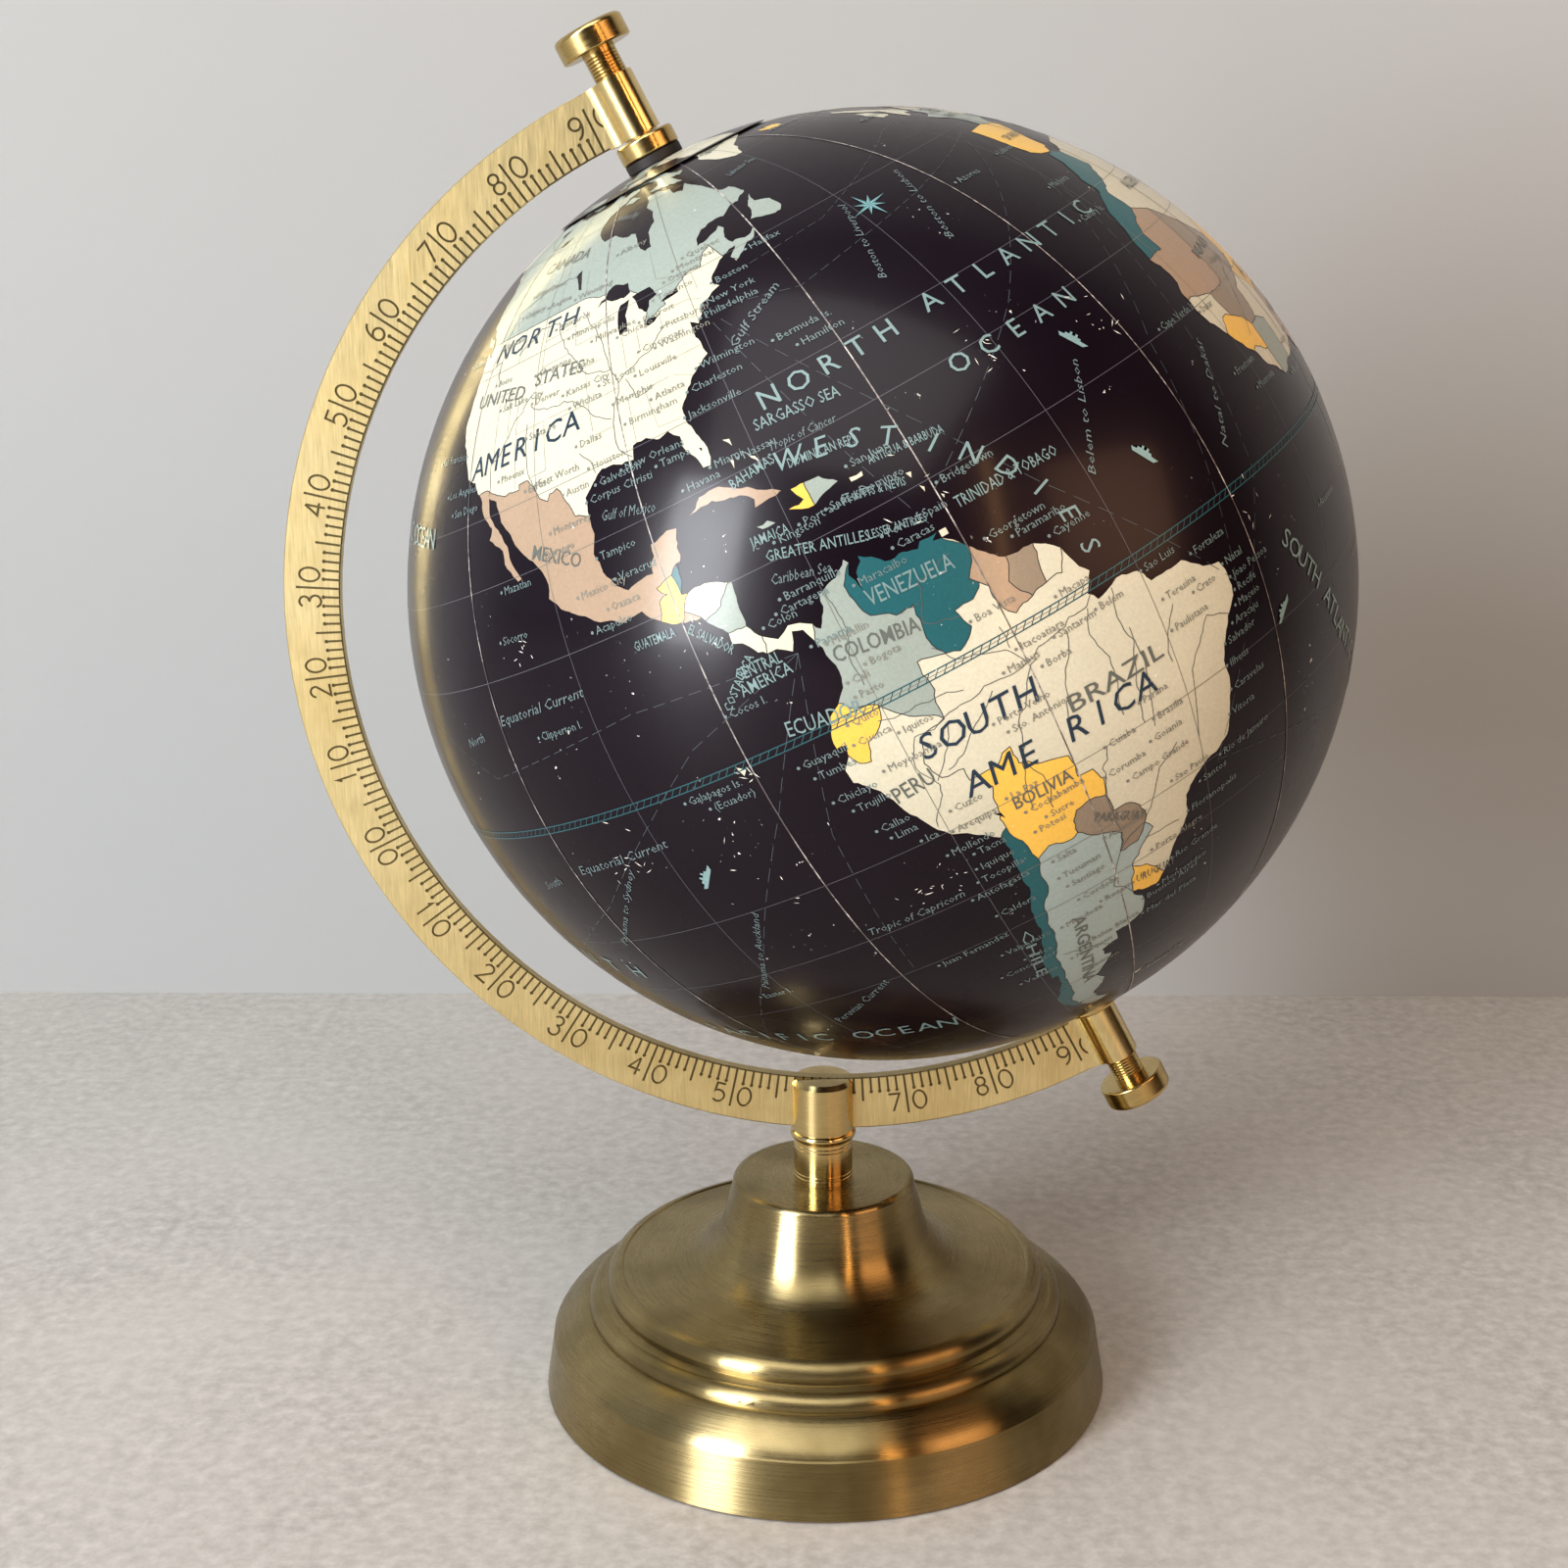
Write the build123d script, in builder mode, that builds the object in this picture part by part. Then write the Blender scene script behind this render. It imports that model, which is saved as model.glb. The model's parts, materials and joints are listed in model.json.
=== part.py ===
from build123d import *
import os
from math import cos, degrees, radians, sin

os.makedirs("parts", exist_ok=True)

# ---- Driving dimensions (millimetres, degrees) ----
ball_r = 101.6  # printed surface of an eight-inch ball
ball_centre = (13.1, 188.3)  # X and Z; the ball hangs to the right of the stem
axis_tilt = 27.0  # polar axis from the vertical, north end leaning to -X
arc_offset = 10.3  # arc centre stands this far from the polar axis, away from the ball
arc_inner_r = 108.6
arc_outer_r = 121.0
arc_thickness = 3.0
degree_pitch = 1.011  # angle on the arc of one engraved division
sliding_gap = 0.05  # radial clearance of pins and spindles

# Base, turned to one profile about the stem's axis
base_foot_r = 65.9
base_rim_r = 63.9
base_rim_z = 13.3
base_top_r = 21.2
base_top_z = 50.5
base_wall = 2.2
rim_bore_r = 62.4
foot_gap = 0.4  # the metal rim stands this far above the felt's face

# Stem
stem_r = 7.2
stem_low_r = 6.8
stem_bead_r = 7.65
stem_joint_z = 60.4
stem_top_z = 74.9
stem_thread_r = 3.0

# Pivot hardware, measured outward from the ball's centre along the polar axis
boss_r = 4.4
boss_in = 108.3
boss_out = 121.0
spindle_r = 3.6
pin_r = 2.0
pin_end = 101.9
knob_r = 7.65
knob_in = 127.0
knob_out = 132.2
collar_r = 6.4
collar_in = 103.6
collar_out = 107.7
washer_r = 6.2
washer_in = 101.8

# Ball, inside to outside
shell_thickness = 2.6
gore_thickness = 0.3
gore_count = 12
gore_joint = 0.12  # half angle of the joint between two gores
map_turn = -16.0  # turn of the Greenwich meridian from the across direction, about north
calotte_latitude = 77.0
calotte_thickness = 0.25
ferrule_r = 4.0

# Engraving
engrave_depth = 0.25
stroke = 0.5
dot_r = 0.42
tick_overrun = 0.2  # added to every tick so that it opens through the arc's broken edge
unit_tick = 3.6
five_tick = 5.7
ten_tick = 9.5
digit_radius = arc_inner_r + 6.7
digit_shift = 2.9  # from the ten mark to the middle of each digit

# ---- Frames: origin at the middle of the foot, on the stem's axis, +Z up ----
tilt = radians(axis_tilt)
ball_x, ball_z = ball_centre
across = Vector(cos(tilt), 0, sin(tilt))
north = Vector(-sin(tilt), 0, cos(tilt))
ball_origin = Vector(ball_x, 0, ball_z)
arc_origin = ball_origin - across * arc_offset
polar_axis = Axis(ball_origin, north)
section = Plane(ball_origin, x_dir=across, z_dir=(0, -1, 0))  # x across, y along the polar axis
face_origin = arc_origin - Vector(0, arc_thickness / 2, 0)  # on the numbered face, towards -Y
arc_face = Plane(face_origin, x_dir=(1, 0, 0), z_dir=(0, -1, 0))


def polar_plane(height):
    """Plane square to the polar axis, height millimetres north of the ball's centre."""
    return Plane(ball_origin + north * height, x_dir=across, z_dir=north)


def save(builder, name):
    builder.part.label = name
    export_step(builder.part, f"parts/{name}.step")


# ---- Base ----
neck_top_z = base_top_z - 1.4
step_r, step_z = 47.3, 28.9  # outer edge of the flat shoulder
bead_r = 3.4
bead_x, bead_z = step_r + 0.3, step_z + 0.25 - bead_r
ledge_r, ledge_z = 50.8, 24.3  # foot of the first bead
bead_2_r, bead_2_z = 55.5, 20.6
bead_2_rise = 3.0
# Inner wall, from the rim's bore up to the ceiling under the top disc
hollow = [
    (rim_bore_r, 10.6),
    (58.2, 15.4),
    (51.4, 18.6),
    (47.0, 25.6),
    (35.0, 27.8),
    (27.4, 29.8),
    (21.9, 36.5),
]

with BuildPart() as base_shell:
    with BuildSketch(Plane.XZ):
        with BuildLine():
            Line((stem_thread_r, base_top_z), (base_top_r - 1.4, base_top_z))
            TangentArc((base_top_r - 1.4, base_top_z), (base_top_r, neck_top_z), tangent=(1, 0))
            Spline(
                (base_top_r, neck_top_z),
                (22.2, 44.8),
                (24.1, 38.0),
                (29.4, 31.9),
                (36.0, 30.2),
                tangents=[(0.12, -1), (1, -0.08)],
            )
            Line((36.0, 30.2), (step_r, step_z))
            Line((step_r, step_z), (bead_x, bead_z + bead_r))
            CenterArc((bead_x, bead_z), bead_r, 0, 90)
            Line((bead_x + bead_r, bead_z), (ledge_r, ledge_z))
            Line((ledge_r, ledge_z), (bead_2_r - bead_2_rise, bead_2_z + bead_2_rise))
            CenterArc((bead_2_r - bead_2_rise, bead_2_z), bead_2_rise, 0, 90)
            Line((bead_2_r, bead_2_z), (bead_2_r, bead_2_z - 0.4))
            Spline(
                (bead_2_r, bead_2_z - 0.4),
                (59.6, 18.1),
                (base_rim_r - 0.3, base_rim_z + 0.4),
                tangents=[(1, -0.12), (0.45, -1)],
            )
            Line((base_rim_r - 0.3, base_rim_z + 0.4), (base_rim_r, base_rim_z))
            Line((base_rim_r, base_rim_z), (base_foot_r, foot_gap + 0.3))
            Line((base_foot_r, foot_gap + 0.3), (base_foot_r - 0.3, foot_gap))
            Polyline(
                (base_foot_r - 0.3, foot_gap),
                (rim_bore_r, foot_gap),
                *hollow,
                (19.2, base_top_z - base_wall),
                (stem_thread_r, base_top_z - base_wall),
                (stem_thread_r, base_top_z),
            )
        make_face()
    revolve(axis=Axis.Z)
save(base_shell, "base_shell")

# Cast ballast bonded to the pressed-in floor plate
plate_bottom, plate_top = 1.6, 3.2
ballast_r, ballast_top = 56.0, 14.0
tool_hole_r = 9.0

with BuildPart() as base_plate:
    with BuildSketch(Plane.XY.offset(plate_bottom)):
        Circle(rim_bore_r)
    extrude(amount=plate_top - plate_bottom)
save(base_plate, "base_plate")

with BuildPart() as base_ballast:
    with BuildSketch(Plane.XY.offset(plate_top)):
        Circle(ballast_r)
        Circle(tool_hole_r, mode=Mode.SUBTRACT)
    extrude(amount=ballast_top - plate_top)
    top_rim = base_ballast.edges().filter_by(GeomType.CIRCLE).group_by(Axis.Z)[-1]
    chamfer(top_rim, 1.5)
save(base_ballast, "base_ballast")

with BuildPart() as base_felt:
    with BuildSketch(Plane.XY):
        Circle(rim_bore_r - 0.3)
    extrude(amount=plate_bottom)
save(base_felt, "base_felt")

# Hexagon bolt that pulls the lower stem down on the base
washer_thickness = 1.6
bolt_head = 4.0
bolt_flats = 10.0
bolt_tip_z = 55.2
ceiling_z = base_top_z - base_wall
head_top_z = ceiling_z - washer_thickness

with BuildPart() as stem_washer:
    with BuildSketch(Plane.XY.offset(head_top_z)):
        Circle(8.0)
        Circle(stem_thread_r, mode=Mode.SUBTRACT)
    extrude(amount=washer_thickness)
save(stem_washer, "stem_washer")

with BuildPart() as stem_bolt:
    with BuildSketch(Plane.XY.offset(head_top_z - bolt_head)):
        RegularPolygon(bolt_flats / 2, 6, major_radius=False)
    extrude(amount=bolt_head)
    with BuildSketch(Plane.XY.offset(head_top_z)):
        Circle(stem_thread_r)
    extrude(amount=bolt_tip_z - head_top_z)
    chamfer(stem_bolt.faces().sort_by(Axis.Z)[-1].edges(), 0.5)
save(stem_bolt, "stem_bolt")

# ---- Stem ----
ring_heights = (51.3, 52.2, 58.3, 59.2)  # fine turned rings
ring_depth = 0.14
ring_half = 0.16

with BuildPart() as lower_stem:
    with BuildSketch(Plane.XZ):
        with BuildLine():
            outline = [(stem_thread_r, base_top_z), (stem_low_r, base_top_z)]
            for height in ring_heights:
                outline += [
                    (stem_low_r, height - ring_half),
                    (stem_low_r - ring_depth, height),
                    (stem_low_r, height + ring_half),
                ]
            outline += [
                (stem_low_r, stem_joint_z - 0.35),
                (stem_low_r - 0.35, stem_joint_z),
                (stem_thread_r, stem_joint_z),
            ]
            Polyline(*outline, close=True)
        make_face()
    revolve(axis=Axis.Z)
save(lower_stem, "lower_stem")

# ---- Meridian arc: one casting with a bored boss at each pole ----
edge_break = 0.25
lug_root = -7.0  # across coordinate where the boss's flare meets the flat band
band_cut = -2.0  # the band is cut off here, inside each boss
flare_r = 3.5


def on_arc(mark, radius, slide=0.0, turn=0.0):
    """Place on the arc's face at a division, slid round it by an angle in radians."""
    angle = radians(180 + axis_tilt - mark * degree_pitch) - slide
    return Location((radius * cos(angle), radius * sin(angle), 0), (0, 0, degrees(angle) + turn))


def digit(numeral, height=4.4, width=3.0):
    """One engraved numeral drawn as a single stroke, centred on the origin."""
    w, h = width / 2, height / 2
    bowl = h * 0.52
    with BuildSketch() as shape:
        if numeral == "0":
            Ellipse(w + stroke / 2, h + stroke / 2)
            Ellipse(w - stroke / 2, h - stroke / 2, mode=Mode.SUBTRACT)
        elif numeral == "8":
            lower_bowl = 1.2
            for half_stroke, mode in ((stroke / 2, Mode.ADD), (-stroke / 2, Mode.SUBTRACT)):
                for middle, radius in ((bowl, h - bowl), (lower_bowl - h, lower_bowl)):
                    with Locations((0, middle)):
                        Circle(radius + half_stroke, mode=mode)
        elif numeral in "69":
            flip = 1 if numeral == "9" else -1
            ring = 1.25
            with BuildLine():
                Spline(
                    (flip * ring, flip * (h - ring)),
                    (flip * ring * 0.72, flip * (-h * 0.4)),
                    (-flip * ring * 0.5, -flip * h),
                    tangents=[(0, -flip), (-flip, -0.25 * flip)],
                )
            trace(line_width=stroke)
            with Locations((0, flip * (h - ring))):
                Circle(ring + stroke / 2)
                Circle(ring - stroke / 2, mode=Mode.SUBTRACT)
        elif numeral == "3":
            with BuildLine():
                ThreePointArc((-w * 0.8, h * 0.7), (w * 0.6, h * 0.55), (-w * 0.15, 0.05))
            trace(line_width=stroke)
            with BuildLine():
                ThreePointArc((-w * 0.15, -0.05), (w * 0.75, -h * 0.5), (-w * 0.9, -h * 0.7))
            trace(line_width=stroke)
        elif numeral == "2":
            with BuildLine():
                ThreePointArc((-w * 0.8, h * 0.55), (w * 0.1, h), (w * 0.7, h * 0.35))
                Line((w * 0.7, h * 0.35), (-w * 0.85, -h))
                Line((-w * 0.85, -h), (w * 0.9, -h))
            trace(line_width=stroke)
        elif numeral == "5":
            with BuildLine():
                Line((w * 0.7, h), (-w * 0.6, h))
                Line((-w * 0.6, h), (-w * 0.7, h * 0.1))
                ThreePointArc((-w * 0.7, h * 0.1), (w * 0.8, -h * 0.3), (-w * 0.8, -h * 0.85))
            trace(line_width=stroke)
        else:
            strokes = {
                "1": [[(-0.35, 0.6), (0, 1), (0, -1)]],
                "4": [[(0.35, 1), (-0.9, -0.35), (0.9, -0.35)], [(0.35, 0.95), (0.35, -1)]],
                "7": [[(-0.85, 0.95), (0.85, 0.95), (-0.3, -1)]],
            }[numeral]
            for run in strokes:
                with BuildLine():
                    Polyline(*[(w * x, h * y) for x, y in run])
                trace(line_width=stroke)
    return shape.sketch


numerals = {name: digit(name) for name in "0123456789"}

# Band: a ring with broken edges, kept only on the side away from the ball
ring_section = Plane(arc_origin, x_dir=(-1, 0, 0), z_dir=(0, 0, 1))
with BuildPart() as band:
    with BuildSketch(ring_section):
        with Locations(((arc_inner_r + arc_outer_r) / 2, 0)):
            Rectangle(arc_outer_r - arc_inner_r, arc_thickness)
        chamfer(vertices(), edge_break)
    revolve(axis=Axis(arc_origin, (0, 1, 0)))
    with BuildSketch(section):
        with Locations((band_cut, 0)):
            Rectangle(2 * arc_outer_r, 3 * arc_outer_r, align=(Align.MIN, Align.CENTER))
    extrude(amount=arc_thickness, both=True, mode=Mode.SUBTRACT)

with BuildPart() as meridian_arc:
    add(band.part)
    # Bosses, each with a flare that runs out on the band
    for start in (boss_in, -boss_out):
        with BuildSketch(polar_plane(start)):
            Circle(boss_r)
            with Locations((lug_root / 2, 0)):
                Rectangle(-lug_root, arc_thickness)
            fillet([v for v in vertices() if -boss_r < v.X < -boss_r / 2], flare_r)
        extrude(amount=boss_out - boss_in)
    with BuildSketch(polar_plane(0)):
        Circle(spindle_r + sliding_gap)
    extrude(amount=2 * boss_out, both=True, mode=Mode.SUBTRACT)

    # Scale marks: single divisions end in a punched dot, fives and tens are longer
    single_marks = [mark for mark in range(-90, 91) if mark % 5]
    five_marks = [mark for mark in range(-90, 91) if mark % 10 == 5]
    ten_marks = range(-90, 91, 10)
    for marks, length in ((single_marks, unit_tick), (five_marks, five_tick), (ten_marks, ten_tick)):
        with BuildSketch(arc_face):
            with Locations(*[on_arc(mark, arc_inner_r + length / 2) for mark in marks]):
                Rectangle(length + tick_overrun, stroke)
        extrude(amount=-engrave_depth, mode=Mode.SUBTRACT)
    with BuildSketch(arc_face):
        with Locations(*[on_arc(mark, arc_inner_r + unit_tick) for mark in single_marks]):
            Circle(dot_r)
    extrude(amount=-engrave_depth, mode=Mode.SUBTRACT)

    # Numerals either side of each ten mark, cut through the flare of the boss as well
    with BuildSketch(arc_face):
        for mark in ten_marks:
            outward = 1 if mark > 0 else -1  # way that the heads of the numerals point
            text = f"{abs(mark) // 10}0"
            for name, side in zip(text, (-1, 1)):
                slide = side * outward * digit_shift / digit_radius
                with Locations(on_arc(mark, digit_radius, slide, -90 * outward)):
                    add(numerals[name])
    extrude(amount=-engrave_depth, mode=Mode.SUBTRACT)
save(meridian_arc, "meridian_arc")

# ---- Upper stem: slotted to take the arc, with a threaded spigot below ----
spigot_end_z = 55.8
bead_low_z, bead_high_z = 60.5, 62.4
screw_r = 1.5
screw_z = 68.6
screw_end_y = 6.9
slot_width, slot_depth = 0.5, 0.6

with BuildPart() as upper_stem:
    with BuildSketch(Plane.XZ):
        with BuildLine():
            Polyline(
                (0, spigot_end_z),
                (stem_thread_r - 0.4, spigot_end_z),
                (stem_thread_r, spigot_end_z + 0.4),
                (stem_thread_r, stem_joint_z),
                (stem_low_r, stem_joint_z),
                (stem_r - 0.1, bead_low_z),
            )
            ThreePointArc(
                (stem_r - 0.1, bead_low_z),
                (stem_bead_r, (bead_low_z + bead_high_z) / 2),
                (stem_r - 0.1, bead_high_z),
            )
            Polyline(
                (stem_r - 0.1, bead_high_z),
                (stem_r, bead_high_z + 0.15),
                (stem_r, stem_top_z - 1.1),
                (stem_r - 0.8, stem_top_z),
                (0, stem_top_z),
                (0, spigot_end_z),
            )
        make_face()
    revolve(axis=Axis.Z)
    add(band.part, mode=Mode.SUBTRACT)
    with BuildSketch(Plane(origin=(0, arc_thickness / 2, screw_z), z_dir=(0, 1, 0))):
        Circle(screw_r)
    extrude(amount=stem_r, mode=Mode.SUBTRACT)
save(upper_stem, "upper_stem")

# Grub screw at the back that holds the arc in its slot
with BuildPart() as arc_screw:
    with BuildSketch(Plane(origin=(0, arc_thickness / 2, screw_z), z_dir=(0, 1, 0))):
        Circle(screw_r)
    extrude(amount=screw_end_y - arc_thickness / 2)
    with BuildSketch(Plane(origin=(0, screw_end_y, screw_z), z_dir=(0, 1, 0))):
        Rectangle(3 * screw_r, slot_width)
    extrude(amount=-slot_depth, mode=Mode.SUBTRACT)
save(arc_screw, "arc_screw")

# ---- Pivots: a knob fixed on a spindle that screws through each boss ----
shoulder = 108.0  # spindle shoulder, just clear of the collar on the ball
knob_bore_end = 130.0
thread_start, thread_pitch, thread_depth = 121.6, 0.7, 0.18

for name, side in (("upper", 1), ("lower", -1)):
    with BuildPart() as spindle:
        with BuildSketch(section):
            with BuildLine():
                outline = [
                    (0, pin_end),
                    (pin_r - 0.4, pin_end),
                    (pin_r, pin_end + 0.4),
                    (pin_r, shoulder),
                    (spindle_r, shoulder),
                ]
                for turn in range(7):
                    root = thread_start + turn * thread_pitch
                    outline += [
                        (spindle_r, root - thread_depth),
                        (spindle_r - thread_depth, root),
                        (spindle_r, root + thread_depth),
                    ]
                outline += [(spindle_r, knob_bore_end), (0, knob_bore_end)]
                Polyline(*[(x, side * y) for x, y in outline], close=True)
            make_face()
        revolve(axis=polar_axis)
    save(spindle, f"{name}_spindle")

    with BuildPart() as knob:
        with BuildSketch(section):
            with BuildLine():
                outline = [
                    (0, knob_bore_end),
                    (spindle_r, knob_bore_end),
                    (spindle_r, knob_in),
                    (knob_r, knob_in),
                    (knob_r, knob_out),
                    (0, knob_out),
                ]
                Polyline(*[(x, side * y) for x, y in outline], close=True)
            make_face()
            for height, radius in ((knob_in, 0.5), (knob_out, 1.1)):
                rim = [v for v in vertices() if v.X > knob_r - 0.01 and abs(abs(v.Y) - height) < 0.01]
                fillet(rim, radius)
        revolve(axis=polar_axis)
    save(knob, f"{name}_knob")

# ---- Ball ----
shell_outer_r = ball_r - gore_thickness
shell_inner_r = shell_outer_r - shell_thickness
ring_inner_r = 96.2
ring_half_height = 8.0
nut_flats = 12.0
nut_outer = 98.3
nut_thickness = 4.0

for name, side, align in (("north", 1, Align.MIN), ("south", -1, Align.MAX)):
    with BuildPart() as shell:
        with BuildSketch(section):
            Circle(shell_outer_r)
            Circle(shell_inner_r, mode=Mode.SUBTRACT)
            with Locations((ferrule_r, 0)):
                Rectangle(ball_r, ball_r, align=(Align.MIN, align), mode=Mode.INTERSECT)
        revolve(axis=polar_axis)
    save(shell, f"{name}_shell")

    # Flanged ferrule that the pivot pin turns in, clamped by a nut inside the ball
    with BuildPart() as ferrule:
        with BuildSketch(section):
            bore = pin_r + sliding_gap
            with BuildLine():
                outline = [
                    (bore, nut_outer - nut_thickness - 1),
                    (ferrule_r, nut_outer - nut_thickness - 1),
                    (ferrule_r, collar_in),
                    (collar_r, collar_in),
                    (collar_r, collar_out),
                    (bore, collar_out),
                ]
                Polyline(*[(x, side * y) for x, y in outline], close=True)
            make_face()
            fillet([v for v in vertices() if v.X > collar_r - 0.01], 0.7)
        revolve(axis=polar_axis)
    save(ferrule, f"{name}_ferrule")

    with BuildPart() as nut:
        with BuildSketch(polar_plane(side * nut_outer)):
            RegularPolygon(nut_flats / 2, 6, major_radius=False)
            Circle(ferrule_r, mode=Mode.SUBTRACT)
        extrude(amount=-side * nut_thickness)
    save(nut, f"{name}_nut")

    with BuildPart() as washer:
        with BuildSketch(polar_plane(side * washer_in)):
            Circle(washer_r)
            Circle(ferrule_r, mode=Mode.SUBTRACT)
        extrude(amount=side * (collar_in - washer_in))
    save(washer, f"{name}_washer")

    # Round paper cap pasted over the tips of the gores
    with BuildPart() as calotte:
        with BuildSketch(section):
            Circle(ball_r + calotte_thickness)
            Circle(ball_r, mode=Mode.SUBTRACT)
            with Locations((ferrule_r, side * ball_r * sin(radians(calotte_latitude)))):
                Rectangle(ball_r, ball_r, align=(Align.MIN, align), mode=Mode.INTERSECT)
        revolve(axis=polar_axis)
    save(calotte, f"{name}_calotte")

# Strip glued inside the ball over the joint of its halves
with BuildPart() as equator_strip:
    with BuildSketch(section):
        Circle(shell_inner_r)
        with Locations((ring_inner_r, 0)):
            Rectangle(ball_r, 2 * ring_half_height, align=(Align.MIN, Align.CENTER), mode=Mode.INTERSECT)
    revolve(axis=polar_axis)
save(equator_strip, "equator_strip")

# Printed paper gores, pole to pole
gore_angle = 360 / gore_count
with BuildPart() as map_gores:
    for index in range(gore_count):
        turn = radians(map_turn + index * gore_angle + gore_joint)
        radial = across * cos(turn) + Vector(0, 1, 0) * sin(turn)
        with BuildSketch(Plane(ball_origin, x_dir=radial, z_dir=radial.cross(north))):
            Circle(ball_r)
            Circle(shell_outer_r, mode=Mode.SUBTRACT)
            with Locations((ferrule_r, 0)):
                Rectangle(ball_r, 2 * ball_r, align=(Align.MIN, Align.CENTER), mode=Mode.INTERSECT)
        revolve(axis=polar_axis, revolution_arc=gore_angle - 2 * gore_joint)
save(map_gores, "map_gores")
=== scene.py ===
import json
import math
import random

import bmesh
import bpy
from mathutils import Matrix, Vector, noise
from mathutils.geometry import delaunay_2d_cdt


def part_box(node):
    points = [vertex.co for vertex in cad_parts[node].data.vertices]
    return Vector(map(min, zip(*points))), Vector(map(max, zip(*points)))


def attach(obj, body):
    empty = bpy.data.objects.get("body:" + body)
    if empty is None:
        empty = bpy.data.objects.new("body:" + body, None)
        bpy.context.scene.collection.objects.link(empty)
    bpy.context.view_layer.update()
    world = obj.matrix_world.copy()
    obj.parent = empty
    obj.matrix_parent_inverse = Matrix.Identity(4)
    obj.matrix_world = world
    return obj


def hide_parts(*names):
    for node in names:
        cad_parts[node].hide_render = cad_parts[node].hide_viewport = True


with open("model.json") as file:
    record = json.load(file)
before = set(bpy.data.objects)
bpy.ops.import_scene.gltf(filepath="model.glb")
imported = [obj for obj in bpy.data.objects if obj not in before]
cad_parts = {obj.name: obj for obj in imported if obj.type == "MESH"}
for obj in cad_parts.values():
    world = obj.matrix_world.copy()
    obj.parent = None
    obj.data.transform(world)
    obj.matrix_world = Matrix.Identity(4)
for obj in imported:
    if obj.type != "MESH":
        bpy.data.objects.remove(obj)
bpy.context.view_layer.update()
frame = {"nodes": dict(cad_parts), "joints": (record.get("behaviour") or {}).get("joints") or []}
nodes = frame["nodes"]
MM = 0.001

# ---- The ball's own frame, from the joint it turns on ----
spin = next(j for j in frame["joints"] if j["child"] == "globe")
BALL = Vector(spin["pos_m"])
NORTH = Vector(spin["axis"]).normalized()
ACROSS = Vector((NORTH.z, 0, -NORTH.x))
SIDE = NORTH.cross(ACROSS)
AXIS_LEAN = math.atan2(-NORTH.x, NORTH.z)
GORE_LOW, GORE_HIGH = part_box("map_gores")
BALL_R = (GORE_HIGH.y - GORE_LOW.y) / 2
GREENWICH = math.radians(-16)  # turn of the zero meridian from ACROSS

# Radii of the printed layers, all inside the lacquered surface
SEA_R = BALL_R - 0.15 * MM
LAND_R = BALL_R - 0.11 * MM
LINE_R = BALL_R - 0.075 * MM
LETTER_R = BALL_R - 0.03 * MM
CALOTTE_LAT = 77
CALOTTE_RISE = 0.42 * MM
CELL = 2.5  # degrees of one facet of the printed layers


# =====================================================================
# Map drawing: plane coordinates are longitude and printed latitude
# =====================================================================
NORTH_STRETCH, SOUTH_STRETCH, STRETCH_END = 1.155, 1.06, 60


def printed(lat):
    """Latitude at which the gores carry a place; they are drawn out towards the poles."""
    k = NORTH_STRETCH if lat > 0 else SOUTH_STRETCH
    a = abs(lat)
    if a > STRETCH_END:
        a = k * STRETCH_END + (a - STRETCH_END) * (90 - k * STRETCH_END) / (90 - STRETCH_END)
    else:
        a *= k
    return math.copysign(a, lat)


def radial(lon, lat):
    """Unit vector from the ball's centre to a printed place."""
    a, b = math.radians(lon) + GREENWICH, math.radians(lat)
    return (ACROSS * math.cos(a) + SIDE * math.sin(a)) * math.cos(b) + NORTH * math.sin(b)


def shell_radius(lat, radius):
    return radius + (CALOTTE_RISE if abs(lat) > CALOTTE_LAT else 0)


def points(text):
    return [tuple(float(v) for v in p.split(",")) for p in text.split()]


def plotted(text):
    return [(x, printed(y)) for x, y in points(text)]


WANDER_SHORTEST, WANDER_LONGEST = 0.9, 7  # degrees; only steps between these are broken
WANDER_SHARE, WANDER_FULL = 0.24, 4
WANDER_SCALE = 1.7


def roughened(line, closed, depth=3):
    """Breaks each long step of a coast or border into a natural wander that depends only on where it is."""
    for _ in range(depth):
        out = []
        count = len(line)
        for i in range(count if closed else count - 1):
            a, b = line[i], line[(i + 1) % count]
            out.append(a)
            run = math.hypot(b[0] - a[0], b[1] - a[1])
            if WANDER_SHORTEST < run < WANDER_LONGEST:
                m = Vector(((a[0] + b[0]) / 2, (a[1] + b[1]) / 2, 0))
                dx, dy = (noise.noise(m * WANDER_SCALE + Vector((0, 0, layer))) for layer in (3.1, 9.7))
                reach = WANDER_SHARE * min(run, WANDER_FULL)
                out.append((m.x + dx * reach, m.y + dy * reach))
        if not closed:
            out.append(line[-1])
        line = out
    return line


def finished_mesh(name, bm, material):
    """One printed layer: normals all point straight out of the ball, so that the layers shine as one."""
    mesh = bpy.data.meshes.new(name)
    bm.to_mesh(mesh)
    bm.free()
    piece = bpy.data.objects.new(name, mesh)
    bpy.context.scene.collection.objects.link(piece)
    mesh.materials.append(material)
    mesh.shade_smooth()
    mesh.normals_split_custom_set_from_vertices([(v.co - BALL).normalized() for v in mesh.vertices])
    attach(piece, "globe")
    return piece


def ribbon(bm, a, b, width, radius):
    """A printed line between two places, as one narrow facet."""
    p, q = radial(*a), radial(*b)
    side = p.cross(q)
    if side.length < 1e-9:
        return
    side = side.normalized() * (width / 2 / radius)
    ra, rb = shell_radius(a[1], radius), shell_radius(b[1], radius)
    ring = [(p - side, ra), (q - side, rb), (q + side, rb), (p + side, ra)]
    bm.faces.new([bm.verts.new(BALL + v.normalized() * r) for v, r in ring])


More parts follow.
